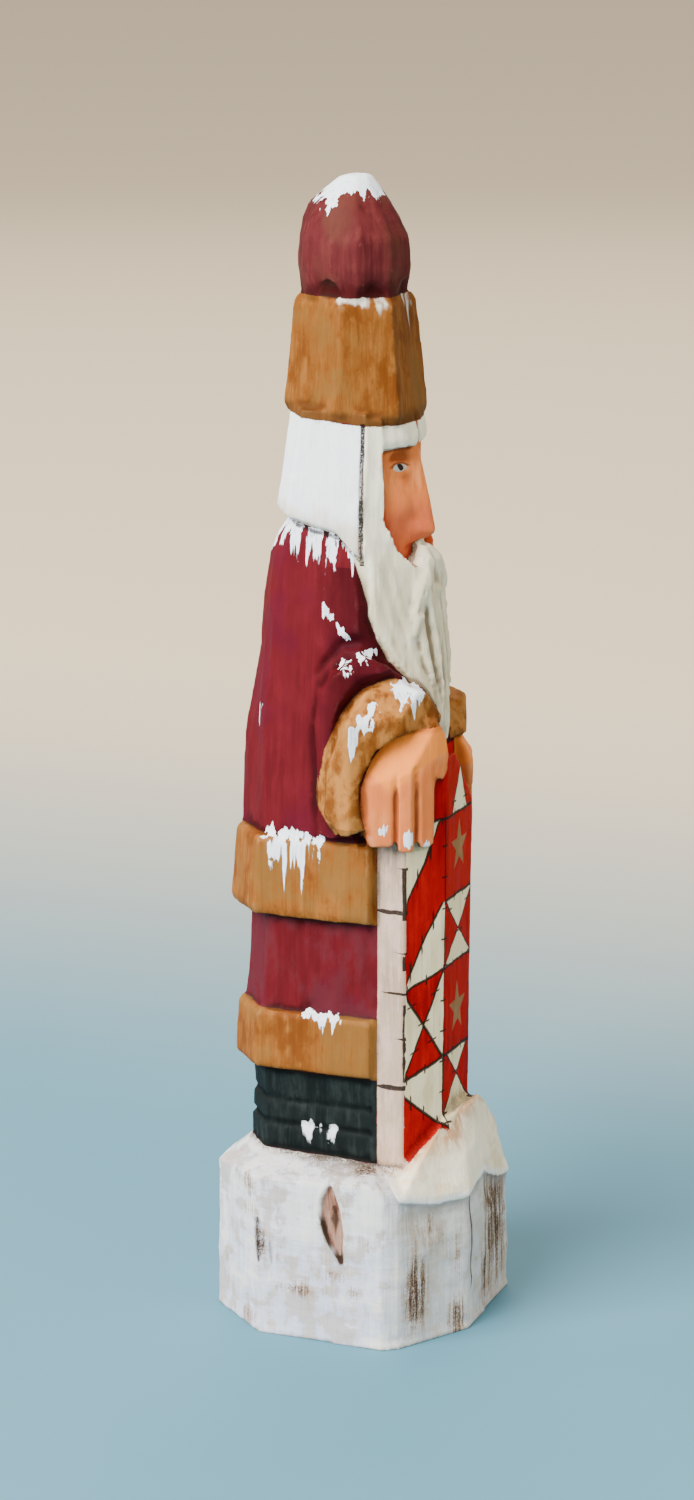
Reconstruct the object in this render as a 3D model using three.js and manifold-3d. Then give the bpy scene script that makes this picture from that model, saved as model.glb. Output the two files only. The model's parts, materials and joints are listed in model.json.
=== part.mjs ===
// A santa carved from one block of wood, with a quilt over his arms and a block of snow under his boots.
// Millimetres, +Z up, the front faces -Y. The origin is at the middle of the underside.
import * as THREE from 'three';
import { ConvexGeometry } from 'three/addons/geometries/ConvexGeometry.js';
import { LoftGeometry } from 'three/addons/geometries/LoftGeometry.js';
import { mergeVertices } from 'three/addons/utils/BufferGeometryUtils.js';
import Module from 'manifold-3d';

// Driving sizes
const BASE_WIDTH = 69; // left to right
const BASE_DEPTH = 69; // front to back
const BASE_HEIGHT = 43; // underside to the rim of the snow at its sides
const BACK_BEVEL = { across: 17, along: 18 };
const RIGHT_FRONT_BEVEL = { across: 23, along: 12 };
const LEFT_FRONT_BEVEL = { across: 12, along: 14 };
const SMALL_BEVEL = { across: 3, along: 4 }; // knife cut beside the right front bevel
const FIGURE_HEIGHT = 257; // rim of the snow to the tip of the hat

// The figure below is measured in shares of its height: 257 shares, upwards from the rim of the snow
const SHARES = 257;
const SHARE = FIGURE_HEIGHT / SHARES;

// Levels of the figure's parts, in shares
const LEVEL = {
  bootCrease: 11,
  bootWrinkle: 17.3,
  lowerBand: 26,
  skirt: 42,
  upperBand: 67.8,
  coat: 89,
  quiltTop: 110.5,
  beardTip: 113,
  hairHem: 163,
  brim: 197,
  brimTop: 226.5,
  tip: 257,
};

const wasm = await Module();
wasm.setup();

// Joins and cuts

function solid(geometry) {
  const bare = geometry.index ? geometry.toNonIndexed() : geometry.clone();
  bare.deleteAttribute('normal');
  bare.deleteAttribute('uv');
  const merged = mergeVertices(bare, 1e-4);
  return new wasm.Manifold(new wasm.Mesh({
    numProp: 3,
    vertProperties: new Float32Array(merged.attributes.position.array),
    triVerts: new Uint32Array(merged.index.array),
  }));
}

function join(solids) {
  return solids.reduce((whole, next) => whole.add(next));
}

function cutAway(block, tools) {
  return tools.reduce((rest, tool) => rest.subtract(tool), block);
}

function geometryOf(block) {
  const mesh = block.getMesh();
  const geometry = new THREE.BufferGeometry();
  geometry.setAttribute('position', new THREE.BufferAttribute(new Float32Array(mesh.vertProperties), 3));
  geometry.setIndex(new THREE.BufferAttribute(new Uint32Array(mesh.triVerts), 1));
  geometry.computeVertexNormals();
  return geometry;
}

// Places in the figure, from shares to millimetres

function at(x, y, z) {
  return new THREE.Vector3(x * SHARE, y * SHARE, BASE_HEIGHT + z * SHARE);
}

// Carver's operations

const ARRIS = [0.5, 0.5]; // a corner that is only rubbed

// An eight-sided outline at one level, bevelled at the back and at the front. Tilt lifts its back.
function outline({ z, back, front, half, backBevel = ARRIS, frontBevel = ARRIS, tilt = 0 }) {
  const [backX, backY] = backBevel;
  const [frontX, frontY] = frontBevel;
  const rightHalf = [
    [half - frontX, front],
    [half, front + frontY],
    [half, back - backY],
    [half - backX, back],
  ];
  const leftHalf = rightHalf.map(([x, y]) => [-x, y]).reverse();
  return [...rightHalf, ...leftHalf].map(([x, y]) => at(x, y, z + tilt * y));
}

// Which way an outline turns, as seen along the way from the first section to the last
function turnOf(section, along) {
  const normal = new THREE.Vector3();
  section.forEach((point, index) => {
    normal.add(new THREE.Vector3().crossVectors(point, section[(index + 1) % section.length]));
  });
  return normal.dot(along);
}

function middleOf(section) {
  return section.reduce((sum, point) => sum.add(point), new THREE.Vector3()).divideScalar(section.length);
}

function loft(sections) {
  const along = new THREE.Vector3().subVectors(middleOf(sections.at(-1)), middleOf(sections[0]));
  const outwards = turnOf(sections[0], along) > 0;
  const ordered = outwards ? sections : sections.map((section) => [...section].reverse());
  return solid(new LoftGeometry(ordered, { capStart: true, capEnd: true }));
}

function block(levels) {
  return loft(levels.map(outline));
}

// A shape drawn on an upright plane and sawn out across it. Right is the plane's level axis.
function sawn(points, right, from, to) {
  const level = new THREE.Vector3(...right).normalize();
  const up = new THREE.Vector3(0, 0, 1);
  const out = new THREE.Vector3().crossVectors(level, up);
  const corners = points.map(([along, height]) => new THREE.Vector2(along * SHARE, height * SHARE));
  const shape = new THREE.Shape(corners);
  const geometry = new THREE.ExtrudeGeometry(shape, { depth: (to - from) * SHARE, bevelEnabled: false });
  geometry.translate(0, 0, from * SHARE);
  geometry.applyMatrix4(new THREE.Matrix4().makeBasis(level, up, out).setPosition(0, 0, BASE_HEIGHT));
  return solid(geometry);
}

// An outline seen from above, as tall as the two levels
function plan(points, bottom, top) {
  return loft([bottom, top].map((z) => points.map(([x, y]) => at(x, y, z))));
}

// A flat knife cut: everything beyond the plane goes
function knife(point, facing) {
  const reach = 3 * FIGURE_HEIGHT;
  const geometry = new THREE.BoxGeometry(reach, reach, reach);
  geometry.translate(0, 0, reach / 2);
  const turn = new THREE.Quaternion().setFromUnitVectors(
    new THREE.Vector3(0, 0, 1),
    new THREE.Vector3(...facing).normalize(),
  );
  geometry.applyQuaternion(turn);
  geometry.translate(...at(...point));
  return solid(geometry);
}

// A cut of V section along a line of points. Out is the way from the surface to the knife.
function groove(points, out, width, depth) {
  const line = points.map((point) => at(...point));
  const up = new THREE.Vector3(...out).normalize();
  const lift = 2 * depth;
  const half = (width / 2) * (1 + lift / depth);
  const sections = line.map((point, index) => {
    const before = line[Math.max(index - 1, 0)];
    const after = line[Math.min(index + 1, line.length - 1)];
    const across = new THREE.Vector3().subVectors(after, before).cross(up).normalize();
    const corner = (side, height) => point.clone()
      .addScaledVector(across, side * SHARE)
      .addScaledVector(up, height * SHARE);
    return [corner(-half, lift), corner(0, -depth), corner(half, lift)];
  });
  return loft(sections);
}

// A rounded body along a line: each station has its middle, and its half sizes across and outwards
function lobe(stations, out, sides = 8) {
  const middles = stations.map((station) => at(...station.at));
  const outwards = new THREE.Vector3(...out).normalize();
  const sections = stations.map(({ half }, index) => {
    const before = middles[Math.max(index - 1, 0)];
    const after = middles[Math.min(index + 1, middles.length - 1)];
    const along = new THREE.Vector3().subVectors(after, before).normalize();
    const across = new THREE.Vector3().crossVectors(outwards, along).normalize();
    const up = new THREE.Vector3().crossVectors(along, across);
    return Array.from({ length: sides }, (_, side) => {
      const angle = ((side + 0.5) / sides) * 2 * Math.PI;
      return middles[index].clone()
        .addScaledVector(across, Math.cos(angle) * half[0] * SHARE)
        .addScaledVector(up, Math.sin(angle) * half[1] * SHARE);
    });
  });
  return loft(sections);
}

function mirrored(makeSide) {
  return [-1, 1].map(makeSide);
}

// The block of snow, with its rim cut lower at the front and the drift against the quilt

const BOOTS = { half: 20.4, back: 26.5 };
const QUILT = { half: 21, side: -10.5, corner: -19.7, ridgeX: 9, ridge: -26.7, front: -27.3 };

function rimCorners() {
  const halfWidth = BASE_WIDTH / 2;
  const halfDepth = BASE_DEPTH / 2;
  const smallY = -halfDepth + RIGHT_FRONT_BEVEL.along;
  return [
    { x: -halfWidth + BACK_BEVEL.across, y: halfDepth, rim: -2.6 },
    { x: -halfWidth + 1, y: halfDepth - BACK_BEVEL.along, rim: -0.3 },
    { x: -halfWidth, y: smallY + SMALL_BEVEL.along, rim: 1.4 },
    { x: -halfWidth + SMALL_BEVEL.across, y: smallY, rim: -2 },
    { x: -halfWidth + RIGHT_FRONT_BEVEL.across, y: -halfDepth, rim: -5.6 },
    { x: halfWidth - LEFT_FRONT_BEVEL.across, y: -halfDepth + 1, rim: -10.4 },
    { x: halfWidth, y: -halfDepth + LEFT_FRONT_BEVEL.along, rim: -4 },
    { x: halfWidth, y: halfDepth - BACK_BEVEL.along, rim: -0.6 },
    { x: halfWidth - BACK_BEVEL.across, y: halfDepth, rim: -2.2 },
  ];
}

function snowBase() {
  const corners = rimCorners();
  const underside = corners.map(({ x, y }) => new THREE.Vector3(x, y, 0));
  const rim = corners.map(({ x, y, rim: height }) => new THREE.Vector3(x, y, BASE_HEIGHT + height));
  const tread = mirrored((side) => [
    at(side * BOOTS.half, 21, 3.6),
    at(side * BOOTS.half, -9, 2.7),
    at(side * 12, BOOTS.back + 0.5, 3.4),
  ]).flat();
  const slab = solid(new ConvexGeometry([...underside, ...rim, ...tread]));
  return slab.add(snowDrift(corners));
}

// The drift leans on the front of the quilt and runs out to a lip on the front faces of the base
function snowDrift(corners) {
  const [small, right, left, side] = corners.slice(3, 7);
  const lipAt = (from, to, share, height) => new THREE.Vector3(
    THREE.MathUtils.lerp(from.x, to.x, share),
    THREE.MathUtils.lerp(from.y, to.y, share),
    BASE_HEIGHT + height,
  );
  const lip = [
    lipAt(small, right, 0, -2),
    lipAt(small, right, 0.5, -5),
    lipAt(small, right, 1, -5.4),
    lipAt(right, left, 0.38, -2.6),
    lipAt(right, left, 0.75, -8.4),
    lipAt(right, left, 1, -10),
    lipAt(left, side, 0.9, -4),
  ];
  const foot = lip.map((point) => new THREE.Vector3(point.x, point.y, BASE_HEIGHT / 2));
  const seam = [
    at(-QUILT.half, QUILT.corner, 4.2),
    at(-QUILT.ridgeX, QUILT.ridge, 14),
    at(QUILT.ridgeX, QUILT.front, 14.6),
    at(QUILT.half, QUILT.corner, 3.4),
  ];
  const crest = [at(-2, -29.6, 14.2), at(7.5, -30.2, 15.6), at(14, -30.2, 11.4), at(20.5, -30, 5.6)];
  const behind = [at(-14, -12, 0), at(14, -12, 0)];
  return solid(new ConvexGeometry([...lip, ...foot, ...seam, ...crest, ...behind]));
}

// Boots, skirt and the two fur bands

function boots() {
  const bevels = { backBevel: [9, 7], frontBevel: [5, 5] };
  const ring = (z, grow) => ({
    z, back: BOOTS.back + grow, front: -18, half: BOOTS.half + grow, ...bevels,
  });
  const pair = block([
    ring(-8, -0.1),
    ring(LEVEL.bootCrease - 1.2, 0.4),
    ring(LEVEL.bootCrease, -0.7),
    ring(LEVEL.bootCrease + 1.1, 0.2),
    ring(LEVEL.bootWrinkle - 1.3, -0.1),
    ring(LEVEL.bootWrinkle, -1),
    ring(LEVEL.bootWrinkle + 1, -0.3),
    ring(LEVEL.lowerBand + 1, 0.3),
  ]);
  const between = [[0, BOOTS.back, 3], [0, BOOTS.back, LEVEL.lowerBand + 2]];
  return cutAway(pair, [groove(between, [0, 1, 0], 5, 5)]);
}

function lowerBand() {
  const bevels = { front: -11.4, backBevel: [10, 9.5], frontBevel: [1.5, 1] };
  return block([
    { z: LEVEL.lowerBand, back: 30.3, half: 22.6, ...bevels },
    { z: LEVEL.lowerBand + 1.6, back: 30.8, half: 23.1, ...bevels },
    { z: LEVEL.skirt - 1.2, back: 30, half: 23, ...bevels },
    { z: LEVEL.skirt, back: 29.3, half: 22.3, ...bevels },
  ]);
}

function skirt() {
  const bevels = { front: -17, backBevel: [9.5, 9], frontBevel: [4, 5] };
  return block([
    { z: LEVEL.skirt - 1, back: 28.6, half: 21.2, ...bevels },
    { z: LEVEL.skirt + 6, back: 27.8, half: 20.9, ...bevels },
    { z: LEVEL.upperBand + 1, back: 27, half: 20.8, ...bevels },
  ]);
}

function upperBand() {
  const bevels = { front: -11.4, backBevel: [11, 10.5], frontBevel: [1.5, 1] };
  return block([
    { z: LEVEL.upperBand, back: 31.5, half: 23.4, ...bevels },
    { z: LEVEL.upperBand + 2.2, back: 32, half: 24.1, ...bevels },
    { z: LEVEL.coat - 1.2, back: 30.4, half: 23.9, ...bevels },
    { z: LEVEL.coat, back: 29.8, half: 23.2, ...bevels },
  ]);
}

// The coat, hewn in long flats up to the shoulders

function coat() {
  const chest = { front: -13, frontBevel: [8.5, 6.5] };
  const body = block([
    { z: LEVEL.coat - 1.5, back: 29.4, half: 22.6, backBevel: [12, 12], ...chest },
    { z: 106, back: 29.3, half: 22.5, backBevel: [12, 12], ...chest },
    { z: 117.8, back: 28.1, half: 22.3, backBevel: [11.5, 11], ...chest },
    { z: 128.8, back: 25.8, half: 21.9, backBevel: [10.5, 9], ...chest },
    { z: 137, back: 24, half: 21.3, backBevel: [10, 8], ...chest },
    { z: 151, back: 22.9, half: 20.4, backBevel: [9, 7.5], ...chest },
    { z: 161, back: 21.2, front: -8, half: 19.4, backBevel: [8, 7], frontBevel: [5, 4] },
    { z: 166.5, back: 19, front: -5, half: 18.4, backBevel: [7, 6] },
    { z: 173, back: 15, front: -5, half: 16.5, backBevel: [6, 5] },
  ]);
  const flats = mirrored((side) => knife([side * 22.6, 6.3, 100], [side * 0.98, 0.17, 0.045]));
  const dents = mirrored((side) => knife([side * 13, 27.2, 112], [side * 0.55, 0.83, 0.09]));
  return cutAway(body, [...flats, ...dents]);
}

// Hair, cut straight across the back and lower at the front, with two rows of flats

const HAIR = { top: LEVEL.brim + 2, topBack: 16.1, nape: LEVEL.hairHem + 10, napeBack: 19.3, dip: 4.4 };

function hair() {
  const { top, topBack, nape, napeBack, dip } = HAIR;
  const hem = LEVEL.hairHem;
  const profile = [[topBack, top], [napeBack, nape], [0, nape - dip], [-6.2, hem], [-7.4, hem], [-7, top]];
  const sawnOut = sawn(profile, [0, 1, 0], -21, 21);
  const sides = { front: -12, backBevel: [7, 6], frontBevel: [1, 1] };
  const shell = block([
    { z: hem - 3, back: napeBack + 0.8, half: 19.3, ...sides },
    { z: nape, back: napeBack, half: 19, ...sides },
    { z: top, back: topBack, half: 16.1, ...sides },
  ]);
  const locks = [-8.4, -2.8, 2.8, 8.4].map((x) => groove(
    [[x * 1.1, napeBack + 0.3, nape - 3], [x * 0.9, topBack + 0.1, top]],
    [0, 1, 0.11],
    1.6,
    0.7,
  ));
  return cutAway(sawnOut.intersect(shell), locks);
}

// The hat: a tapered fur brim of six flats under a rounded crown that is scooped along its foot

function brim() {
  const lower = { backBevel: [8.4, 17.4], frontBevel: [6.2, 13.6], tilt: 0.06 };
  const upper = { backBevel: [7, 14.5], frontBevel: [6, 11] };
  return block([
    { z: LEVEL.brim - 0.6, back: 17.6, front: -13.6, half: 16.4, ...lower },
    { z: LEVEL.brim + 1.6, back: 18.3, front: -14.1, half: 17.1, ...lower },
    { z: LEVEL.brimTop - 1.4, back: 16, front: -11.2, half: 14.8, ...upper },
    { z: LEVEL.brimTop + 0.4, back: 15.2, front: -10.3, half: 14, ...upper },
  ]);
}

const CROWN = { y: 2, radius: 15, facets: 11 };

function crown() {
  // Each ring is [height above the brim, share of the radius, shift towards the back]
  const rings = [
    [-4, 0.88, 0.4], [1, 0.94, 0.3], [7.5, 1, 0.1], [14.5, 0.965, 0.3], [19.5, 0.86, 0.8],
    [23.5, 0.71, 1.2], [27, 0.49, 0.6], [29.8, 0.3, 0], [30.5, 0.2, -0.3],
  ];
  const sections = rings.map(([above, size, shift]) => (
    Array.from({ length: CROWN.facets }, (_, facet) => {
      const angle = ((facet + 0.35) / CROWN.facets) * 2 * Math.PI;
      const radius = CROWN.radius * size;
      const y = CROWN.y + shift + radius * Math.sin(angle);
      return at(radius * Math.cos(angle), y, LEVEL.brimTop + above);
    })
  ));
  const scoops = [-100, -50, 0, 45, 90, 180].map((azimuth) => {
    const angle = THREE.MathUtils.degToRad(azimuth);
    const out = [Math.sin(angle), -Math.cos(angle)];
    const side = [Math.cos(angle), Math.sin(angle)];
    const point = (shift, z) => [
      CROWN.radius * out[0] + shift * side[0],
      CROWN.y + CROWN.radius * out[1] + shift * side[1],
      z,
    ];
    return lobe(
      [
        { at: point(-6.4, LEVEL.brimTop - 1.6), half: [0.8, 1] },
        { at: point(-3, LEVEL.brimTop + 0.6), half: [3.2, 2.4] },
        { at: point(0, LEVEL.brimTop + 1), half: [4.4, 2.9] },
        { at: point(3, LEVEL.brimTop + 0.6), half: [3.2, 2.4] },
        { at: point(6.4, LEVEL.brimTop - 1.6), half: [0.8, 1] },
      ],
      [...out, 0.2],
      8,
    );
  });
  const undercuts = mirrored((side) => (
    knife([side * 11.2, 8.8, LEVEL.brimTop + 0.4], [side * 0.9, 0.43, -0.42])
  ));
  return cutAway(loft(sections), [...scoops, ...undercuts]);
}

// The face, between the side whiskers: a plain calm mask on simple proportions, drawn as a depth over
// its width and height. Each swell or hollow is [across, up, half width, half height, depth].

const FACE = { half: 13.9, front: 13.8, sides: 0.027, noseTip: 167, noseRoot: 188, columns: 20, rows: 34 };
const FACE_SWELLS = [
  [6, 185.2, 3.9, 3, -2.9],
  [6, 184.2, 2.9, 1.6, 2.5],
  [7.2, 174, 4.2, 5.2, 2.3],
  [3.6, 168.2, 1.7, 1.7, 1.5],
];

function noseDepth(x, z) {
  const down = THREE.MathUtils.clamp((FACE.noseRoot - z) / (FACE.noseRoot - FACE.noseTip), 0, 1);
  const above = THREE.MathUtils.clamp((FACE.noseRoot + 3 - z) / 3, 0, 1);
  const under = THREE.MathUtils.clamp((z - FACE.noseTip + 3) / 3, 0, 1);
  const height = THREE.MathUtils.lerp(1.8, 6, down) * above * Math.sqrt(under);
  const width = THREE.MathUtils.lerp(2.3, 3.9, down);
  return height * Math.exp(-((x / width) ** 2));
}

function faceDepth(x, z) {
  const swells = FACE_SWELLS.map(([across, up, halfWidth, halfHeight, depth]) => (
    depth * Math.exp(-(((Math.abs(x) - across) / halfWidth) ** 2) - ((z - up) / halfHeight) ** 2)
  ));
  const mask = FACE.front - FACE.sides * x * x;
  return swells.reduce((sum, swell) => sum + swell, mask + noseDepth(x, z));
}

function face() {
  const sections = Array.from({ length: FACE.rows + 1 }, (_, row) => {
    const z = THREE.MathUtils.lerp(158, 196, row / FACE.rows);
    const front = Array.from({ length: FACE.columns + 1 }, (__, column) => {
      const x = THREE.MathUtils.lerp(-FACE.half, FACE.half, column / FACE.columns);
      return at(x, -faceDepth(x, z), z);
    });
    return [at(-FACE.half, 0, z), ...front, at(FACE.half, 0, z)];
  });
  return loft(sections);
}

// Bushy brows, close under the brim, with a nick between their tufts
function brows() {
  return join(mirrored((side) => {
    const tuft = loft([
      [[1, -14], [1, -15.4], [8, -14.2], [12.9, -10.6], [13.6, -7.2], [1, -7.2]],
      [[1, -14], [1, -16], [8.4, -14.8], [13.6, -10.8], [14.4, -7.2], [1, -7.2]],
      [[1, -14], [1, -14.6], [8, -13.6], [12.9, -10], [13.6, -7.2], [1, -7.2]],
    ].map((outlinePoints, step) => {
      const z = LEVEL.brim + [-7.6, -5.6, 0.4][step];
      return outlinePoints.map(([x, y]) => at(side * x, y, z));
    }));
    const nickLine = [[side * 8.2, -14.8, LEVEL.brim - 9], [side * 8.2, -14.6, LEVEL.brim + 2]];
    const nick = groove(nickLine, [side * 0.4, -1, 0], 1.2, 1.1);
    return cutAway(tuft, [nick]);
  }));
}

// The beard: side whiskers that widen to a long pointed shield, and the moustache over it

function beard() {
  const shield = block([
    { z: LEVEL.beardTip, back: -18, front: -23.6, half: 1.6, backBevel: [0.5, 1], frontBevel: [0.9, 1] },
    { z: 120.5, back: -16, front: -24, half: 5.6, backBevel: [1, 2], frontBevel: [3.6, 3.4] },
    { z: 132.5, back: -8, front: -23.4, half: 12.4, backBevel: [3, 4], frontBevel: [8.4, 6.4] },
    { z: 141.5, back: -4, front: -22.2, half: 16.4, backBevel: [3, 3], frontBevel: [11.4, 10] },
    { z: 147.5, back: 0, front: -21.2, half: 17.9, backBevel: [3, 3], frontBevel: [12.2, 11] },
    { z: 160, back: 0, front: -19.2, half: 18.1, backBevel: [3, 3], frontBevel: [12, 9.6] },
    { z: 167, back: 0, front: -15.6, half: 18.3, backBevel: [3, 3], frontBevel: [8, 8] },
    { z: 175, back: 0, front: -13, half: 17.7, backBevel: [3, 3], frontBevel: [4.4, 6] },
    { z: LEVEL.brim + 0.5, back: 0, front: -12, half: 16.4, backBevel: [3, 3], frontBevel: [3.8, 5] },
  ]);
  const opening = [[159.5, 8], [164, 11.4], [172, FACE.half - 0.2], [LEVEL.brim + 3, FACE.half - 0.2]];
  const hollow = loft(opening.map(([z, half]) => (
    [[1.6 - half, -8], [-half, -11], [-half, -30], [half, -30], [half, -11], [half - 1.6, -8]]
      .map(([x, y]) => at(x, y, z))
  )));
  const strands = [-9, -5.6, -2, 2, 5.6, 9].map((x) => groove(
    [
      [x * 1.15, -22 + Math.abs(x) * 0.5, 150],
      [x * 0.85, -23.6 + Math.abs(x) * 0.45, 134],
      [x * 0.2, -24.3, 118],
    ],
    [x * 0.09, -1, 0],
    1.3,
    0.9,
  ));
  return cutAway(shield, [hollow, ...strands]);
}

function moustache() {
  const lip = lobe(
    [
      { at: [-3.6, -19.2, 152.6], half: [0.7, 0.8] },
      { at: [0, -19.8, 152], half: [1.9, 2.2] },
      { at: [3.6, -19.2, 152.6], half: [0.7, 0.8] },
    ],
    [0, -1, 0],
  );
  return join([lip, ...mirrored((side) => {
    const half = lobe(
      [
        { at: [side * 0.4, -16.4, 163], half: [1.8, 1.7] },
        { at: [side * 3, -17.7, 159.4], half: [3.4, 3.1] },
        { at: [side * 6.2, -18, 153.5], half: [3.4, 3.1] },
        { at: [side * 8.6, -17.8, 147], half: [2.4, 2.6] },
        { at: [side * 9.8, -17.8, 141.5], half: [0.6, 1] },
      ],
      [side * 0.3, -1, 0],
    );
    const strands = [-1.2, 1.2].map((shift) => groove(
      [
        [side * (2.4 + shift), -20.7, 161.4 + shift * 0.7],
        [side * (6 + shift), -20.7, 154.6 + shift * 0.7],
        [side * (9 + shift * 0.6), -19.3, 147],
      ],
      [side * 0.32, -1, 0],
      1.3,
      0.9,
    ));
    return cutAway(half, strands);
  })]);
}

// Cuts between the side whiskers and the hair, from the brim down to the shoulder
function whiskerGaps() {
  return mirrored((side) => groove(
    [[side * 19.2, -6.8, LEVEL.hairHem - 2], [side * 17, -6.3, LEVEL.brim]],
    [side, 0, 0],
    1.3,
    3.6,
  ));
}

// Arms: sleeve, cuff and hand are drawn on an upright plane that leans 30 degrees in towards the front.
// Along is forwards on that plane, out is away from it. His left arm hangs a little lower.

const ARMS = [{ side: -1, drop: 0 }, { side: 1, drop: 8, overFront: true }];
const ARM_TURN = THREE.MathUtils.degToRad(30);
const WRIST = { along: 15, up: 100 };
// The arch of the cuff about the wrist: degrees from straight forwards, inner and outer radius
const CUFF_ARCH = [
  [84, 20.5, 21.5], [95, 20.2, 28.6], [108, 20.5, 33.4], [122, 21.4, 34.9],
  [137, 22.2, 33.2], [162, 21.6, 29.8], [184, 20.4, 29], [196, 20.2, 26.5],
];
const FINGERS = [
  { from: -4, to: 3.7, tip: 89.8 },
  { from: 3.7, to: 9.4, tip: 88.2 },
  { from: 9.4, to: 14.9, tip: 88.8 },
  { from: 14.9, to: 18.4, tip: 105.6 },
];
const KNUCKLES = 108.2;

function armDirection({ side }, along, out, up) {
  const sin = Math.sin(ARM_TURN);
  const cos = Math.cos(ARM_TURN);
  return [side * (out * cos - along * sin), -along * cos - out * sin, up];
}

function armPoint(arm, along, out, up) {
  return armDirection(arm, along, out, up - arm.drop);
}

function armSawn({ side, drop }, points) {
  const right = [Math.sin(ARM_TURN), side * Math.cos(ARM_TURN), 0];
  return sawn(points.map(([along, up]) => [-side * along, up - drop]), right, 0, 42);
}

function armPlan({ side }, points) {
  return plan(points.map(([x, y]) => [side * x, y]), LEVEL.skirt, LEVEL.hairHem);
}

// A slanting flat, given where it passes, how steeply it sheds and how much it leans backwards
function armFlat(arm, out, up, slope, lean = 0) {
  return knife(armPoint(arm, 0, out, up), armDirection(arm, -lean, 1, slope));
}

function archPoint(degrees, radius) {
  const angle = THREE.MathUtils.degToRad(degrees);
  return [WRIST.along + radius * Math.cos(angle), WRIST.up + radius * Math.sin(angle)];
}

function sleeve(arm) {
  const hem = LEVEL.coat + 1.6;
  const profile = [
    [-14.6, hem + arm.drop], [-15.6, 120], [-14.4, 128.6], [-11.6, 133.8], [-8.2, 136.8],
    [-3.3, 138.2], [3.1, 135.6], [8.7, 130.5], [15.5, 123.5],
    ...CUFF_ARCH.slice(0, -2).map(([degrees, inner]) => archPoint(degrees, inner + 1)),
    [-6, hem + arm.drop],
  ];
  const above = [[0, 10], [19, 10], [25, 3.5], [27.4, -4], [21.6, -14.5], [8, -21.5], [0, -21.5]];
  const shed = armFlat(arm, 27.6, 132, 0.75);
  const under = knife(armDirection(arm, 0, 23.4, LEVEL.coat), armDirection(arm, 0, 1, -0.5));
  const valley = groove(
    CUFF_ARCH.slice(2).map(([degrees, , outer]) => {
      const [along, up] = archPoint(degrees, outer + 0.4);
      return armPoint(arm, along, 25.6, up);
    }),
    armDirection(arm, 0, 1, 0),
    6,
    2.6,
  );
  return cutAway(armSawn(arm, profile).intersect(armPlan(arm, above)), [shed, under, valley]);
}

function cuff(arm) {
  const outer = CUFF_ARCH.map(([degrees, , radius]) => archPoint(degrees, radius));
  const inner = CUFF_ARCH.map(([degrees, radius]) => archPoint(degrees, radius)).reverse();
  const above = [[0, 4], [24, 4], [30.4, -1], [31.4, -8], [23.6, -19.8], [8, -26], [0, -26]];
  const sheds = [armFlat(arm, 31.4, 122, 0.7), armFlat(arm, 28.6, 128.5, 1.7)];
  return cutAway(armSawn(arm, [...outer, ...inner]).intersect(armPlan(arm, above)), sheds);
}

// The left fist is flush with the front of the quilt, and slopes back above it
function fistRounding() {
  return [
    knife([QUILT.ridgeX, QUILT.front, LEVEL.coat], [0.36, -0.93, 0]),
    knife([QUILT.ridgeX, QUILT.front, LEVEL.quiltTop - 4.5], [0.31, -0.8, 0.52]),
  ];
}

function hand(arm) {
  const palm = armSawn(arm, [
    [-5, KNUCKLES - 2], [-5, 116], [4, 121], [15, 122], [17.6, 117], [18.6, 111.5], [18, KNUCKLES - 1],
  ]);
  const fingers = FINGERS.map(({ from, to, tip }) => armSawn(arm, [
    [from, KNUCKLES],
    [from + 0.2, tip + 2],
    [from + 1.2, tip],
    [to - 1.2, tip],
    [to - 0.2, tip + 2],
    [to, KNUCKLES],
  ]));
  const above = [
    [8.8, -5], [20, -5], [27.6, -9], [27.8, -12.8], [22.9, -21.8], [15.5, -26], [8.8, -28.4],
  ];
  const back = armFlat(arm, 30.4, KNUCKLES - 0.6, 0.5, 0.16);
  const creases = FINGERS.slice(1).map(({ from, tip }) => {
    const surface = THREE.MathUtils.lerp(30.6, 26.8, Math.max(0, (from - 7.5) / 7));
    return groove(
      [armPoint(arm, from, surface, tip - 3), armPoint(arm, from, surface, KNUCKLES + 2.5)],
      armDirection(arm, 0, 1, 0),
      1.6,
      1.3,
    );
  });
  const cuts = [back, ...creases, ...(arm.overFront ? fistRounding() : [])];
  return cutAway(join([palm, ...fingers]).intersect(armPlan(arm, above)), cuts);
}

// The belly between the hands, behind the top of the quilt and the tip of the beard
function belly() {
  const middle = { back: 0, half: 9.5, frontBevel: [2, 2] };
  return block([
    { z: LEVEL.coat, front: -22.5, ...middle },
    { z: LEVEL.quiltTop + 4, front: -22.5, ...middle },
    { z: LEVEL.beardTip + 13, front: -17, ...middle },
  ]);
}

// The quilt hangs flat over the front, with a broad bevel down each side. Its top slopes down under his
// left hand.
function quilt() {
  const half = (forward) => [
    [QUILT.ridgeX, QUILT.front + forward],
    [QUILT.half, QUILT.corner + forward],
    [QUILT.half, QUILT.side],
  ];
  const section = (z, forward) => [
    ...half(forward),
    ...half(forward).reverse().map(([x, y]) => [-x, x === QUILT.ridgeX ? QUILT.ridge + forward : y]),
  ].map(([x, y]) => at(x, y, z));
  const slope = knife([-1.5, 0, LEVEL.quiltTop - 1.5], [0.76, 0, 0.65]);
  return cutAway(loft([section(-4, 0.8), section(60, 0.4), section(LEVEL.quiltTop, 0)]), [slope]);
}

// Scoops in the coat above the bent elbows
function elbowFolds() {
  return ARMS.map(({ side, drop }) => groove(
    [[23.4, 7.5, 127], [21.9, 3, 135], [21, -2, 140.4], [20, -7, 141.4], [17.6, -12.5, 138]].map(
      ([x, y, z]) => [side * x, y, z - drop],
    ),
    [side, -0.1, 0.15],
    3.6,
    1.5,
  ));
}

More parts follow.
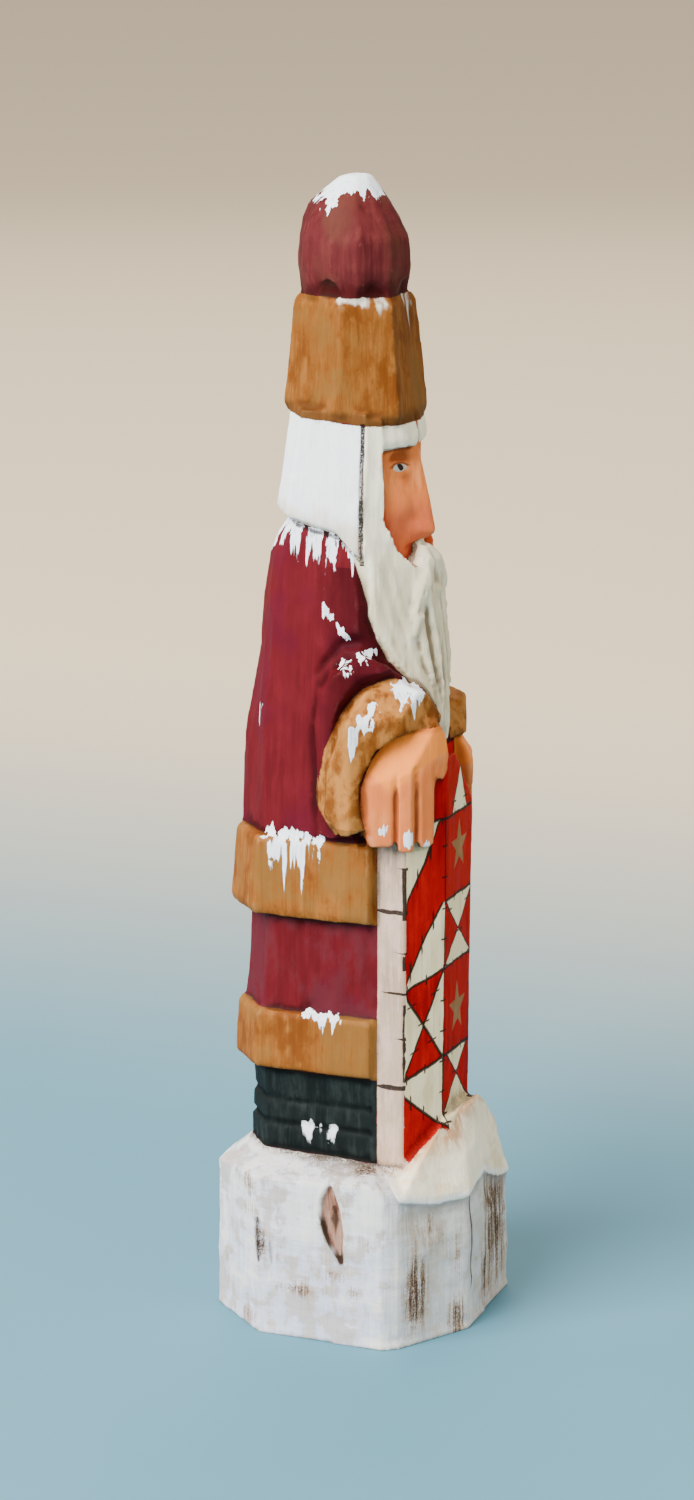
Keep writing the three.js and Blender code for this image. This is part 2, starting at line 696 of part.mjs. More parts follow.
const clothes = cutAway(coat(), elbowFolds());
const arms = ARMS.map((arm) => join([sleeve(arm), cuff(arm), hand(arm)]));
const head = join([hair(), brim(), crown(), face(), brows(), beard(), moustache()]);
const santa = join([
  snowBase(), boots(), lowerBand(), skirt(), upperBand(), clothes, belly(), quilt(), ...arms, head,
]);

const painted = new THREE.MeshStandardMaterial({ color: 0x8c2430, roughness: 0.7, metalness: 0 });
const figure = new THREE.Mesh(geometryOf(cutAway(santa, whiskerGaps())), painted);
figure.name = 'santa_figure';

const part = new THREE.Group();
part.add(figure);
export default part;
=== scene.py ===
"""A painted carving of a bearded gift bringer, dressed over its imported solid.

The figure, the patchwork quilt that he holds and the snowy stump under him are whittled from one
block of wood and painted by hand. The looks are built here: softened knife work, cuts and a knot
in the surface, and a single painted finish whose colours follow the carved forms.
Lengths inside the classes are in shares of the figure, one three-hundredth of its height each.
"""

import json
import logging
import math
from dataclasses import dataclass
from enum import Enum
from typing import Optional, Union

import bpy
import numpy as np
from mathutils import Matrix, Vector

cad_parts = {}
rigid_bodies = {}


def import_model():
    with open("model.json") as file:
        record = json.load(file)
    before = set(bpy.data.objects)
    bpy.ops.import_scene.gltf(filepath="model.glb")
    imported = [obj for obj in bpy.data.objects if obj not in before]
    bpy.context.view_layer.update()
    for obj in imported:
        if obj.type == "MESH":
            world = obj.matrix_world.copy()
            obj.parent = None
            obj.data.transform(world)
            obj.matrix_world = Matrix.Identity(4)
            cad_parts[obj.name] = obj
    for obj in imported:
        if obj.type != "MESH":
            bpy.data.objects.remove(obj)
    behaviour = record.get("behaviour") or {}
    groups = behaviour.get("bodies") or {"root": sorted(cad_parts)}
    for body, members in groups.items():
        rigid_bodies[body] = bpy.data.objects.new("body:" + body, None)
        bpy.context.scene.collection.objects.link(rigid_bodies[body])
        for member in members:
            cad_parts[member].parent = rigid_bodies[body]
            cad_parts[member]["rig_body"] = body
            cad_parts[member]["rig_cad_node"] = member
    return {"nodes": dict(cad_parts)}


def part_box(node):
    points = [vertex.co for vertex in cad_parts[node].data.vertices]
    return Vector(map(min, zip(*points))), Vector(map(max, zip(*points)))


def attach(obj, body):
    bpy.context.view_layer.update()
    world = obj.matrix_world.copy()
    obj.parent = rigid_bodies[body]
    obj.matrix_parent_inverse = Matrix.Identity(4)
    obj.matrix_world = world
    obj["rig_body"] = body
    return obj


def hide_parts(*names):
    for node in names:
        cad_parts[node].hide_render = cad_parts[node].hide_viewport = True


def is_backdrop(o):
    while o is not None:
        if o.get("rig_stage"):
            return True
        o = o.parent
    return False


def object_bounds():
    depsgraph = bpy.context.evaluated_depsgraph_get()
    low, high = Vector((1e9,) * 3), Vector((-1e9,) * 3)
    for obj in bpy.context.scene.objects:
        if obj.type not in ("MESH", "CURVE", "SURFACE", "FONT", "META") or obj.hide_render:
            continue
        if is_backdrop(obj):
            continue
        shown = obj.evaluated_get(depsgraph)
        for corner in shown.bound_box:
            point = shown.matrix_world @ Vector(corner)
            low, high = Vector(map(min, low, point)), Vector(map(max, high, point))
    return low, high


LOG = logging.getLogger("carving")
Colour = tuple[float, float, float]
Point = tuple[float, float, float]
Number = Union[float, "Wire"]

NODE = "santa_figure"
BASE_TOP = 43.0
BRIM_UNDER = 196.4
BRIM_TOP = 226.9
QUILT_TOP = 110.5
LOWER_BAND = (25.7, 42.25)
UPPER_BAND = (67.5, 89.2)
QUILT_FLAT = 9.0
QUILT_SLANT = 12.0
QUILT_STRETCH = 1.158
CROWN_FOOT = 234.0

# Cracks in the stump: the place across, the side they face, the lower and the upper end, width and depth
SIDE_CRACKS = (
    (16.6, -1, 31.8, 19.4, 2.5, 1.0), (17.8, -1, 35.0, 25.0, 0.6, 0.5), (-4.9, -1, 37.8, 35.4, 0.8, 0.9),
    (12.9, -1, 26.0, 19.0, 0.6, 0.5), (4.0, 1, 30.0, 14.0, 0.5, 0.7), (-9.0, 1, 38.0, 22.0, 0.45, 0.6),
)
FRONT_CRACKS = (
    (-8.9, -1, 37.0, 10.0, 1.0, 1.0), (4.4, -1, 37.0, 27.0, 0.6, 0.6), (8.2, 1, 36.0, 12.0, 0.5, 0.8),
)


class Paint(Enum):
    """The areas of one paint each, in the order in which they are laid over the red of the coat."""

    SNOW = "snow"
    QUILT = "quilt"
    BOOTS = "boots"
    IVORY = "ivory"
    FLESH = "flesh"
    HAIR = "hair"
    TAN = "tan"


class Trace(Enum):
    """What else a point remembers: stray white, hollows, ridges, wear and the places of details."""

    DAB = "dab"
    HOLLOW = "hollow"
    RIDGE = "ridge"
    RUBBED = "rubbed"
    KNOT = "knot"
    FINGERS = "fingers"
    LIP = "lip"
    KNUCKLES = "knuckles"


def ramp(value: np.ndarray, low: float, high: float) -> np.ndarray:
    """Rises smoothly from 0 at low to 1 at high.

    Args:
        value: the values to place.
        low: where the rise starts.
        high: where it ends; it may be below low, for a fall.

    Returns:
        Shares from 0 to 1.
    """
    t = np.clip((value - low) / (high - low), 0.0, 1.0)
    return t * t * (3.0 - 2.0 * t)


def lattice(cells: np.ndarray, seed: int) -> np.ndarray:
    """Gives each whole cell its own number, the same in every run.

    Args:
        cells: whole coordinates, one row a cell.
        seed: picks another set of numbers.

    Returns:
        Numbers from 0 to 1.
    """
    mixed = (
        cells[:, 0].astype(np.int64) * 73856093
        ^ cells[:, 1].astype(np.int64) * 19349663
        ^ cells[:, 2].astype(np.int64) * 83492791
        ^ (seed * 2654435761)
    ) & 0xFFFFFFFF
    mixed = ((mixed ^ (mixed >> 15)) * 2246822519) & 0xFFFFFFFF
    mixed = ((mixed ^ (mixed >> 13)) * 3266489917) & 0xFFFFFFFF
    return ((mixed ^ (mixed >> 16)) & 0xFFFFFF) / float(0xFFFFFF)


def unevenness(points: np.ndarray, size: Point, seed: int) -> np.ndarray:
    """Smooth unevenness over the surface.

    Args:
        points: places in shares.
        size: the width of one bump along x, y and z.
        seed: picks another pattern.

    Returns:
        Heights from -1 to 1.
    """
    scaled = points / np.array(size)
    cell = np.floor(scaled)
    part = scaled - cell
    part = part * part * (3.0 - 2.0 * part)
    total = np.zeros(len(points))
    for corner in range(8):
        step = np.array([corner & 1, corner >> 1 & 1, corner >> 2 & 1], float)
        weight = np.prod(np.where(step > 0, part, 1.0 - part), axis=1)
        total += weight * lattice(cell + step, seed)
    return total * 2.0 - 1.0


def knife_scoops(points: np.ndarray, size: np.ndarray, seed: int) -> np.ndarray:
    """The shallow hollows that a knife leaves, side by side, with a low ridge between them.

    Args:
        points: places in shares.
        size: the size of one cut along x, y and z, a row for each point.
        seed: picks another set of cuts.

    Returns:
        How deep each point lies, 0 on a ridge and 1 in the middle of a cut.
    """
    scaled = points / size
    cell = np.floor(scaled)
    first = np.full(len(points), 9.0)
    for i in range(27):
        step = np.array([i % 3 - 1, i // 3 % 3 - 1, i // 9 - 1], float)
        there = cell + step
        centre = there + 0.5 + 0.62 * np.stack(
            [lattice(there, seed + axis) - 0.5 for axis in range(3)], axis=1
        )
        first = np.minimum(first, ((scaled - centre) ** 2).sum(axis=1))
    return np.clip(1.0 - first / 0.5, 0.0, 1.0)


@dataclass(frozen=True)
class Level:
    """A level of a carved block: how far it reaches back, forwards and sideways, and its bevels."""

    z: float
    back: float
    front: float
    half: float
    back_bevel: tuple[float, float]
    front_bevel: tuple[float, float]


@dataclass(frozen=True)
class Block:
    """A carved block, known by its levels from the bottom up."""

    levels: tuple[Level, ...]

    def inside(self, x: np.ndarray, y: np.ndarray, z: np.ndarray) -> np.ndarray:
        """How deep points lie inside the block.

        Args:
            x: sideways places in shares.
            y: places from front to back.
            z: heights over the top of the stump.

        Returns:
            The depth below the nearest side, negative outside.
        """
        at = [level.z for level in self.levels]

        def size(values: list[float]) -> np.ndarray:
            """The size at each point's height, between the two nearest levels."""
            return np.interp(z, at, values)

        half = size([level.half for level in self.levels])
        back = size([level.back for level in self.levels])
        front = size([level.front for level in self.levels])
        depth = np.minimum(np.minimum(half - np.abs(x), back - y), y - front)
        for towards, face, bevels in (
            (1.0, back, [level.back_bevel for level in self.levels]),
            (-1.0, front, [level.front_bevel for level in self.levels]),
        ):
            across = size([bevel[0] for bevel in bevels])
            along = size([bevel[1] for bevel in bevels])
            slant = (np.abs(x) - half) * along + towards * (y - face) * across + across * along
            depth = np.minimum(depth, -slant / np.hypot(across, along))
        low = z - at[0] + 0.6
        high = at[-1] - z + 0.6
        return np.minimum(depth, np.minimum(low, high))


COAT = Block((
    Level(87.5, 29.4, -13, 22.6, (12, 12), (8.5, 6.5)),
    Level(106, 29.3, -13, 22.5, (12, 12), (8.5, 6.5)),
    Level(117.8, 28.1, -13, 22.3, (11.5, 11), (8.5, 6.5)),
    Level(128.8, 25.8, -13, 21.9, (10.5, 9), (8.5, 6.5)),
    Level(137, 24, -13, 21.3, (10, 8), (8.5, 6.5)),
    Level(151, 22.9, -13, 20.4, (9, 7.5), (8.5, 6.5)),
    Level(161, 21.2, -8, 19.4, (8, 7), (5, 4)),
    Level(166.5, 19, -5, 18.4, (7, 6), (5, 4)),
    Level(173, 15, -5, 16.5, (6, 5), (5, 4)),
))
BEARD = Block((
    Level(113, -18, -23.6, 1.6, (0.5, 1), (0.9, 1)),
    Level(120.5, -16, -24, 5.6, (1, 2), (3.6, 3.4)),
    Level(132.5, -8, -23.4, 12.4, (3, 4), (8.4, 6.4)),
    Level(141.5, -4, -22.2, 16.4, (3, 3), (11.4, 10)),
    Level(147.5, 0, -21.2, 17.9, (3, 3), (12.2, 11)),
    Level(160, 0, -19.2, 18.1, (3, 3), (12, 9.6)),
    Level(167, 0, -15.6, 18.3, (3, 3), (8, 8)),
    Level(175, 0, -13, 17.7, (3, 3), (4.4, 6)),
    Level(197.5, 0, -12, 16.4, (3, 3), (3.8, 5)),
))


@dataclass(frozen=True)
class Arm:
    """One arm, drawn on an upright plane that leans in towards the front."""

    side: float
    drop: float
    turn: float = math.radians(30)
    wrist_along: float = 15.0
    wrist_up: float = 100.0
    arch: tuple[tuple[float, float, float], ...] = (
        (84, 20.5, 21.5), (95, 20.2, 28.6), (108, 20.5, 33.4), (122, 21.4, 34.9),
        (137, 22.2, 33.2), (162, 21.6, 29.8), (184, 20.4, 29), (196, 20.2, 26.5),
    )
    tips: tuple[tuple[float, float], ...] = ((3.7, 89.8), (9.4, 88.2), (14.9, 88.8), (18.6, 105.6))

    def frame(self, points: np.ndarray) -> tuple[np.ndarray, np.ndarray, np.ndarray]:
        """Turns places into this arm's own directions.

        Args:
            points: places in shares, with heights over the top of the stump.

        Returns:
            How far forwards along the arm, how far out from its plane, and how high.
        """
        sin, cos = math.sin(self.turn), math.cos(self.turn)
        x, y, z = points.T
        return -self.side * sin * x - cos * y, self.side * cos * x - sin * y, z + self.drop

    def polar(self, points: np.ndarray) -> tuple[np.ndarray, np.ndarray]:
        """The angle about the wrist, in degrees from straight forwards, and the distance from it."""
        along, _, up = self.frame(points)
        across, over = along - self.wrist_along, up - self.wrist_up
        return np.degrees(np.arctan2(over, across)) % 360.0, np.hypot(across, over)

    def cuff(self, points: np.ndarray) -> np.ndarray:
        """How deep points lie inside the cuff's arch.

        Args:
            points: places in shares.

        Returns:
            The depth in shares, negative outside.
        """
        _, out, _ = self.frame(points)
        degrees, radius = self.polar(points)
        table = np.array(self.arch)
        inner = np.interp(degrees, table[:, 0], table[:, 1])
        outer = np.interp(degrees, table[:, 0], table[:, 2])
        sweep = np.radians(np.minimum(degrees - table[0, 0], table[-1, 0] - degrees)) * radius
        depth = np.minimum(np.minimum(radius - inner, outer - radius), sweep)
        return np.minimum(depth + 0.4, out - 8.0)

    def hand(self, points: np.ndarray) -> np.ndarray:
        """How deep points lie inside the hand, in front of the quilt that it holds.

        Args:
            points: places in shares.

        Returns:
            The depth in shares, negative outside.
        """
        along, out, up = self.frame(points)
        _, radius = self.polar(points)
        arris_along, arris_out = 6.56, 28.0
        past = along - arris_along
        quilt = np.where(past < 0.0, arris_out + 0.577 * past, arris_out - 0.575 * past)
        tip = np.select(
            [along < edge for edge, _ in self.tips],
            [np.full(len(along), level) for _, level in self.tips],
            self.tips[-1][1],
        )
        inward, height = self.side * points[:, 0], points[:, 2]
        clear = np.where(height > QUILT_TOP + 0.3, inward - 9.9, out - quilt - 0.45)
        if self.side > 0.0:
            over_slope = (inward + 1.5) * 0.76 + (height - QUILT_TOP + 1.5) * 0.65 - 0.3
            clear = np.maximum(clear, np.minimum(inward - 8.2, over_slope))
        depth = np.minimum(clear, 20.9 - radius)
        return np.minimum(np.minimum(depth, up - tip + 0.7), np.minimum(along + 5.2, 19.4 - along))


ARMS = (Arm(-1.0, 0.0), Arm(1.0, 8.0))


@dataclass(frozen=True)
class Dab:
    """A dab of white that was dragged off a dry brush: thick at the top, ragged at the bottom.

    Its width is given in degrees about the figure, or along an arm where one is named.
    """

    low: float
    high: float
    top: float
    bottom: float
    arm: Optional[int] = None
    strength: float = 1.0
    taper: float = 5.0
    drip: float = 2.0
    ragged: float = 0.5

    def amount(self, points: np.ndarray) -> np.ndarray:
        """How much white each point gets.

        Args:
            points: places in shares.

        Returns:
            Amounts from 0 to 1, highest at the upper edge and low where a drip ends.
        """
        if self.arm is None:
            place = np.degrees(np.arctan2(points[:, 0], -points[:, 1]))
            height = points[:, 2]
            facing, girth = 1.0, 0.4
        else:
            place, out, height = ARMS[self.arm].frame(points)
            facing, girth = ramp(out, 17.0, 19.4), 1.0
        along = np.zeros((len(points), 3))
        along[:, 0] = place * girth + self.top
        length = 1.0 - self.ragged * ramp(unevenness(along, (self.drip, 1.0, 1.0), 3), 0.6, -0.5)
        uneven = unevenness(along, (self.drip * 1.4, 1.0, 1.0), 4)
        edge = np.minimum(place - self.low, self.high - place) / self.taper
        fall = (height - self.top) / ((self.top - self.bottom) * length) + 1.0
        cap = ramp(height, self.top + 1.2 + uneven * 0.7, self.top + 0.2 + uneven * 0.7)
        return self.strength * np.clip(edge, 0.0, 1.0) * np.clip(fall * 1.5, 0.0, 1.0) * cap * facing


DABS = (
    Dab(-180, 180, 263, 249.4, strength=2.6, taper=0.01, ragged=0.15, drip=4.0),
    Dab(-166, -94, 262, 247.6, strength=2.4, taper=12, ragged=0.1, drip=4.0),
    Dab(-128, -104, 262, 245.2, strength=3.0, taper=12, ragged=0.0, drip=4.0),
    Dab(64, 128, 262, 244.5, strength=2.2, taper=26, ragged=0.2, drip=4.0),
    Dab(-112, -70, 227.2, 225.0, strength=1.3, taper=16, ragged=0.3),
    Dab(-92, -57, 227.2, 223.4, strength=1.35, taper=9, ragged=0.3),
    Dab(-60, -38, 227.2, 220.5, strength=0.95, taper=5, ragged=0.6),
    Dab(-10, 38, 227.2, 214.5, strength=1.0, taper=12),
    Dab(66, 112, 227.2, 219, strength=1.0, taper=8),
    Dab(150, 176, 227.2, 220, strength=0.9),
    Dab(-154, -114, 175, 159.5, strength=1.05, taper=4, ragged=0.45, drip=1.4),
    Dab(-124, -99, 174, 154.0, strength=1.05, taper=5, ragged=0.5, drip=1.4),
    Dab(-101, -72, 171, 153.5, strength=1.0, taper=4, ragged=0.5, drip=1.4),
    Dab(84, 122, 172, 153, strength=1.0, drip=1.4),
    Dab(-180, -158, 176, 160, strength=0.95, drip=1.4),
    Dab(150, 174, 176, 161, strength=0.95, drip=1.4),
    Dab(-99, -93, 149.6, 144.4, strength=0.98, taper=1.6),
    Dab(-95, -89, 147.8, 142.6, strength=0.98, taper=1.6),
    Dab(-91, -85, 146.0, 140.8, strength=0.98, taper=1.6),
    Dab(-87, -81, 144.2, 139.4, strength=0.96, taper=1.6),
    Dab(-83, -77, 142.6, 138.2, strength=0.94, taper=1.6),
    Dab(-146, -138, 122, 112, strength=0.5, taper=3),
    Dab(132, 146, 128, 118, strength=0.6, taper=3),
    Dab(-9.8, -5.6, 137.4, 131.5, arm=0, strength=0.72, taper=1.4),
    Dab(-6.6, 1.6, 138.2, 136.2, arm=0, strength=0.80, taper=2.2),
    Dab(-6, 3, 138.4, 134, arm=1, strength=0.8, taper=2),
    Dab(-9.2, -5.2, 121.6, 111.2, arm=0, strength=1.7, taper=1.7, ragged=0.1),
    Dab(-7.2, -2.6, 124.2, 117.6, arm=0, strength=1.15, taper=1.8, ragged=0.2),
    Dab(-3.8, 0.0, 126.6, 121.6, arm=0, strength=1.0, taper=1.4, ragged=0.3),
    Dab(-3.2, -1.2, 123.4, 116.6, arm=0, strength=0.9, taper=0.8, ragged=0.2),
    Dab(3.0, 9.2, 130.4, 126.8, arm=0, strength=1.3, taper=1.8, ragged=0.2),
    Dab(7.2, 13.0, 128.8, 124.6, arm=0, strength=1.3, taper=1.8, ragged=0.3),
    Dab(3.8, 12.2, 128.6, 121.4, arm=0, strength=0.72, taper=1.4, ragged=0.6, drip=1.0),
    Dab(-8.5, 1.5, 126, 117, arm=1, strength=1.0, taper=2.5),
    Dab(-1.7, 2.1, 94.8, 91.2, arm=0, strength=1.2, taper=1.5, ragged=0.2, drip=3.0),
    Dab(5.2, 8.6, 92.6, 88.6, arm=0, strength=1.3, taper=1.3, ragged=0.2, drip=3.0),
    Dab(10.8, 13.6, 89.2, 85.2, arm=0, strength=1.1, taper=1.2, ragged=0.2, drip=3.0),
    Dab(-1.2, 2.4, 94.8, 91, arm=1, strength=1.1, taper=1.4, drip=3.0),
    Dab(5.4, 8.4, 92.8, 89, arm=1, strength=1.1, taper=1.3, drip=3.0),
    Dab(-134, -92, 90.0, 86.2, strength=0.88, taper=4, ragged=0.4, drip=1.3),
    Dab(-128, -96, 89.6, 71.0, strength=0.76, taper=3, ragged=0.5, drip=1.0),
    Dab(66, 92, 90.4, 78, strength=0.95, drip=1.3),
    Dab(154, 178, 90.4, 79, strength=0.9, drip=1.3),
    Dab(-113, -80, 42.3, 35.4, strength=0.78, taper=5, ragged=0.6, drip=1.0),
    Dab(100, 128, 42.4, 37, strength=0.8),
    Dab(-115, -104, 11.4, 2.8, strength=1.3, taper=2.4, ragged=0.5, drip=0.9),
    Dab(-103, -98, 11.0, 4.4, strength=1.25, taper=1.6, ragged=0.5, drip=0.9),
    Dab(-97, -86, 11.6, 3.0, strength=1.25, taper=2.4, ragged=0.5, drip=0.9),
    Dab(-160, -152, 15, 9, strength=0.6, taper=3),
    Dab(98, 112, 11.4, 4.6, strength=0.9, taper=3),
)


@dataclass
class Surface:
    """The carving's points in shares, heights over the top of the stump, and what they remember."""

    points: np.ndarray
    normals: np.ndarray

    def __post_init__(self) -> None:
        """Splits the places into their directions and starts with bare traces."""
        self.x, self.y, self.z = self.points.T
        self.fields: dict[str, np.ndarray] = {}
        self.traces: dict[str, np.ndarray] = {}

    def lay(self, paint: Paint, field: np.ndarray) -> None:
        """Lays one paint over all that was laid before.

        Args:
            paint: the area's name.
            field: how deep each point lies in the area, in shares, negative outside.
        """
        field = np.clip(field, -4.0, 4.0)
        for name in self.fields:
            self.fields[name] = np.minimum(self.fields[name], -field)
        self.fields[paint.value] = field

    def paint_areas(self) -> None:
        """Finds the area of each paint from the carved forms, in the painter's order."""
        x, y, z = self.x, self.y, self.z
        wide = np.abs(x)
        bands = np.maximum(
            np.minimum(z - LOWER_BAND[0], LOWER_BAND[1] - z),
            np.minimum(z - UPPER_BAND[0], UPPER_BAND[1] - z),
        )
        self.lay(Paint.TAN, bands)
        self.lay(Paint.BOOTS, LOWER_BAND[0] - z)
        self.lay(Paint.QUILT, np.minimum(-12.2 - y, QUILT_TOP + 0.4 - z))
        self.lay(Paint.SNOW, self._snow())
        beard = BEARD.inside(x, y, z)
        whisker = np.minimum(np.minimum(-6.5 - y, y + 9.5), np.minimum(z - 161.0, wide - 13.0))
        shield = np.minimum(beard + 0.65, beard - COAT.inside(x, y, z))
        chin = np.minimum(np.minimum(5.0 - wide, -19.0 - y), np.minimum(z - 146.0, 156.5 - z))
        self.lay(Paint.IVORY, np.maximum(np.maximum(shield, whisker), chin))
        half = np.interp(z, [159.5, 164, 172, 200], [8, 11.4, 13.7, 13.7])
        face = np.minimum(np.minimum(half - wide + 0.3, -7.4 - y), np.minimum(z - 159.3, 197.6 - z))
        bridge = np.minimum(np.minimum(1.6 - wide, -5.0 - y), np.minimum(z - 187.0, 197.6 - z))
        self.lay(Paint.FLESH, np.maximum(face, bridge))
        brow = np.minimum(np.minimum(z - 189.0, 197.8 - z), np.minimum(wide - 0.8, -6.9 - y))
        self.lay(Paint.IVORY, np.maximum(self.fields["ivory"], np.maximum(brow, self._moustache())))
        self.fields["flesh"] = np.minimum(self.fields["flesh"], -self.fields["ivory"])
        hem = np.interp(y, [-7.4, -6.2, 0, 20.2], [163, 163, 168.6, 173])
        self.lay(Paint.HAIR, np.minimum(np.minimum(z - hem + 0.5, y + 6.6), 199.0 - z))
        brim = np.minimum(z - BRIM_UNDER - 0.06 * y + 0.2, BRIM_TOP + 0.25 - z)
        self.fields["tan"] = np.maximum(self.fields["tan"], brim)
        hands = np.maximum(ARMS[0].hand(self.points), ARMS[1].hand(self.points))
        cuffs = np.maximum(ARMS[0].cuff(self.points), ARMS[1].cuff(self.points))
        cuffs = np.minimum(cuffs, -beard - 0.8)
        flesh = np.maximum(self.fields["flesh"], hands)
        tan = np.maximum(self.fields["tan"], cuffs)
        self.lay(Paint.FLESH, np.minimum(flesh, -cuffs))
        self.lay(Paint.TAN, tan)

    def quilt_lean(self) -> np.ndarray:
        """How far the quilt's front leans forwards at each point's height."""
        return np.interp(self.z, [-4, 60, 110], [0.8, 0.4, 0.0])

    def _snow(self) -> np.ndarray:
        """How deep points lie in the snow of the stump and of the drift before the quilt."""
        wide = np.abs(self.x)
        forward = self.quilt_lean()
        chamfer = (wide - 9.0) * 7.0 + (-26.7 - forward - self.y) * 12.0
        outside = np.maximum(wide - 21.0, np.maximum(chamfer / math.hypot(7.0, 12.0), 0.0))
        outside = np.maximum(outside, -27.3 - forward - self.y)
        drift = np.minimum(np.minimum(outside - 0.4, 20.0 - self.z), -12.0 - self.y)
        return np.maximum(3.25 + 0.03 * self.y - self.z, drift)

    def _moustache(self) -> np.ndarray:
        """How deep points lie in the moustache, taken as a row of balls that grows and tapers."""
        beads = (
            (0.4, -16.4, 163, 1.8), (3, -17.7, 159.4, 3.4), (6.2, -18, 153.5, 3.4),
            (8.6, -17.8, 147, 2.4), (9.8, -17.8, 141.5, 0.6),
        )
        place = np.stack([np.abs(self.x), self.y, self.z], axis=1)
        depth = np.full(len(place), -9.0)
        for start, end in zip(beads, beads[1:]):
            a, b = np.array(start[:3]), np.array(end[:3])
            t = np.clip((place - a) @ (b - a) / ((b - a) @ (b - a)), 0.0, 1.0)
            reach = start[3] + (end[3] - start[3]) * t
            depth = np.maximum(depth, reach - np.linalg.norm(place - a - t[:, None] * (b - a), axis=1))
        return depth + 0.7

    def over_lip(self) -> np.ndarray:
        """How high points lie over the lip of the drift, on the front faces of the stump."""
        place = np.degrees(np.arctan2(self.x, -self.y))
        lip = np.interp(
            place,
            [-72, -60, -54.5, -37, -18.4, 2.4, 22.6, 33.9, 56.8, 64, 76],
            [30, 6, -2, -5, -5.4, -2.6, -8.4, -10, -4, 4, 30],
        )
        return self.z - lip + 0.9

    def dab_on(self) -> None:
        """Adds the stray white, which stays off the quilt, the hair and the foot of the crown."""
        amount = np.zeros(len(self.points))
        for dab in DABS:
            amount = np.maximum(amount, dab.amount(self.points))
        for name in ("quilt", "hair"):
            amount = amount * ramp(self.fields[name], 0.3, -0.3)
        foot_of_crown = ramp(np.abs(self.z - CROWN_FOOT), 6.4, 6.9)
        self.traces[Trace.DAB.value] = amount * foot_of_crown

    def wear(self) -> None:
        """Marks where the stump's whitewash is rubbed through to the wood, and the knot."""
        worn = 0.24 + 0.24 * unevenness(self.points, (12, 12, 14), 31)
        for centre, reach, amount in (
            ((-27.0, -25.2, -29.0), (4.6, 4.0, 13.0), 1.25),
            ((-14.8, -32.2, -38.0), (4.4, 4.0, 8.0), 1.0),
            ((-22.2, -28.0, -10.0), (1.6, 2.0, 4.5), 1.0),
            ((-15.0, -32.4, -20.0), (4.0, 4.0, 15.0), 0.6),
            ((11.7, -33.8, -20.0), (11.0, 4.0, 22.0), 1.2),
            ((2.5, -34.1, -32.0), (5.0, 4.0, 12.0), 0.9),
            ((-30.0, 22.0, -3.0), (9.0, 9.0, 4.0), 0.8),
            ((-33.8, 15.4, -18.5), (3.0, 2.6, 6.0), 0.95),
            ((-30.9, 19.4, -10.0), (5.0, 5.0, 4.0), 0.75),
            ((-33.8, 14.0, -22.0), (3.0, 6.0, 10.0), 0.55),
            ((-33.9, 5.6, -29.3), (3.0, 6.5, 2.2), 0.95),
            ((-33.9, -11.2, -28.0), (3.0, 3.0, 3.0), 0.8),
            ((-33.9, -4.6, -12.0), (3.0, 7.0, 4.0), 0.6),
            ((-33.9, -5.7, -24.5), (3.0, 5.0, 2.4), 0.7),
            ((-33.9, -14.6, -14.0), (3.0, 4.0, 5.0), 0.55),
            ((-24.5, -10.5, 2.3), (5.5, 4.0, 3.0), 1.1),
            ((-21.6, -15.5, 2.0), (4.0, 4.0, 3.0), 0.9),
            ((-30.0, 20.0, -40.0), (8.0, 8.0, 4.0), 0.7),
            ((33.0, 8.0, -20.0), (5.0, 8.0, 16.0), 0.6),
            ((12.0, 33.8, -24.0), (7.0, 5.0, 15.0), 0.65),
            ((-14.0, 33.8, -12.0), (5.0, 5.0, 10.0), 0.4),
        ):
            near = ((self.points - np.array(centre)) / np.array(reach)) ** 2
            worn = np.maximum(worn, amount * np.exp(-near.sum(axis=1)))
        self.traces[Trace.RUBBED.value] = worn
        self.traces[Trace.KNOT.value] = np.clip(self.knot(), -3.0, 3.0)
        self.traces[Trace.LIP.value] = np.clip(self.over_lip(), -6.0, 6.0)
        gap = np.full(len(self.points), 9.0)
        over = np.full(len(self.points), -4.0)
        for arm in ARMS:
            along, _, up = arm.frame(self.points)
            line = np.interp(along, [-2.2, 1, 3.7, 7.3, 11.6, 15.3], [108.7, 105.2, 105, 107.6, 110.1, 112.3])
            over = np.where(arm.hand(self.points) > -1.5, np.maximum(over, up - line), over)
            off = np.maximum(up - 106.5, 0.0) + np.maximum(-arm.hand(self.points), 0.0) * 2.0
            for line, _ in arm.tips[:-1]:
                gap = np.minimum(gap, np.abs(along - line) + off)
        self.traces[Trace.FINGERS.value] = gap
        self.traces[Trace.KNUCKLES.value] = np.clip(over, -4.0, 4.0)

    def knot(self) -> np.ndarray:
        """How deep points lie inside the outline of the knot on his right side of the stump."""
        down = np.clip((-0.2 - self.z) / 20.0, 0.0, 1.0)
        middle = -3.9 - 3.4 * down ** 2.2
        half = np.clip(4.0 * (down + 0.03) * (1.01 - down), 0.0, 1.0) ** 0.75 * (2.9 - 1.5 * down ** 3)
        face = np.minimum(-28.0 - self.x, -self.z + 0.6)
        return np.minimum(np.minimum(half - np.abs(self.y - middle), face), self.z + 20.4)


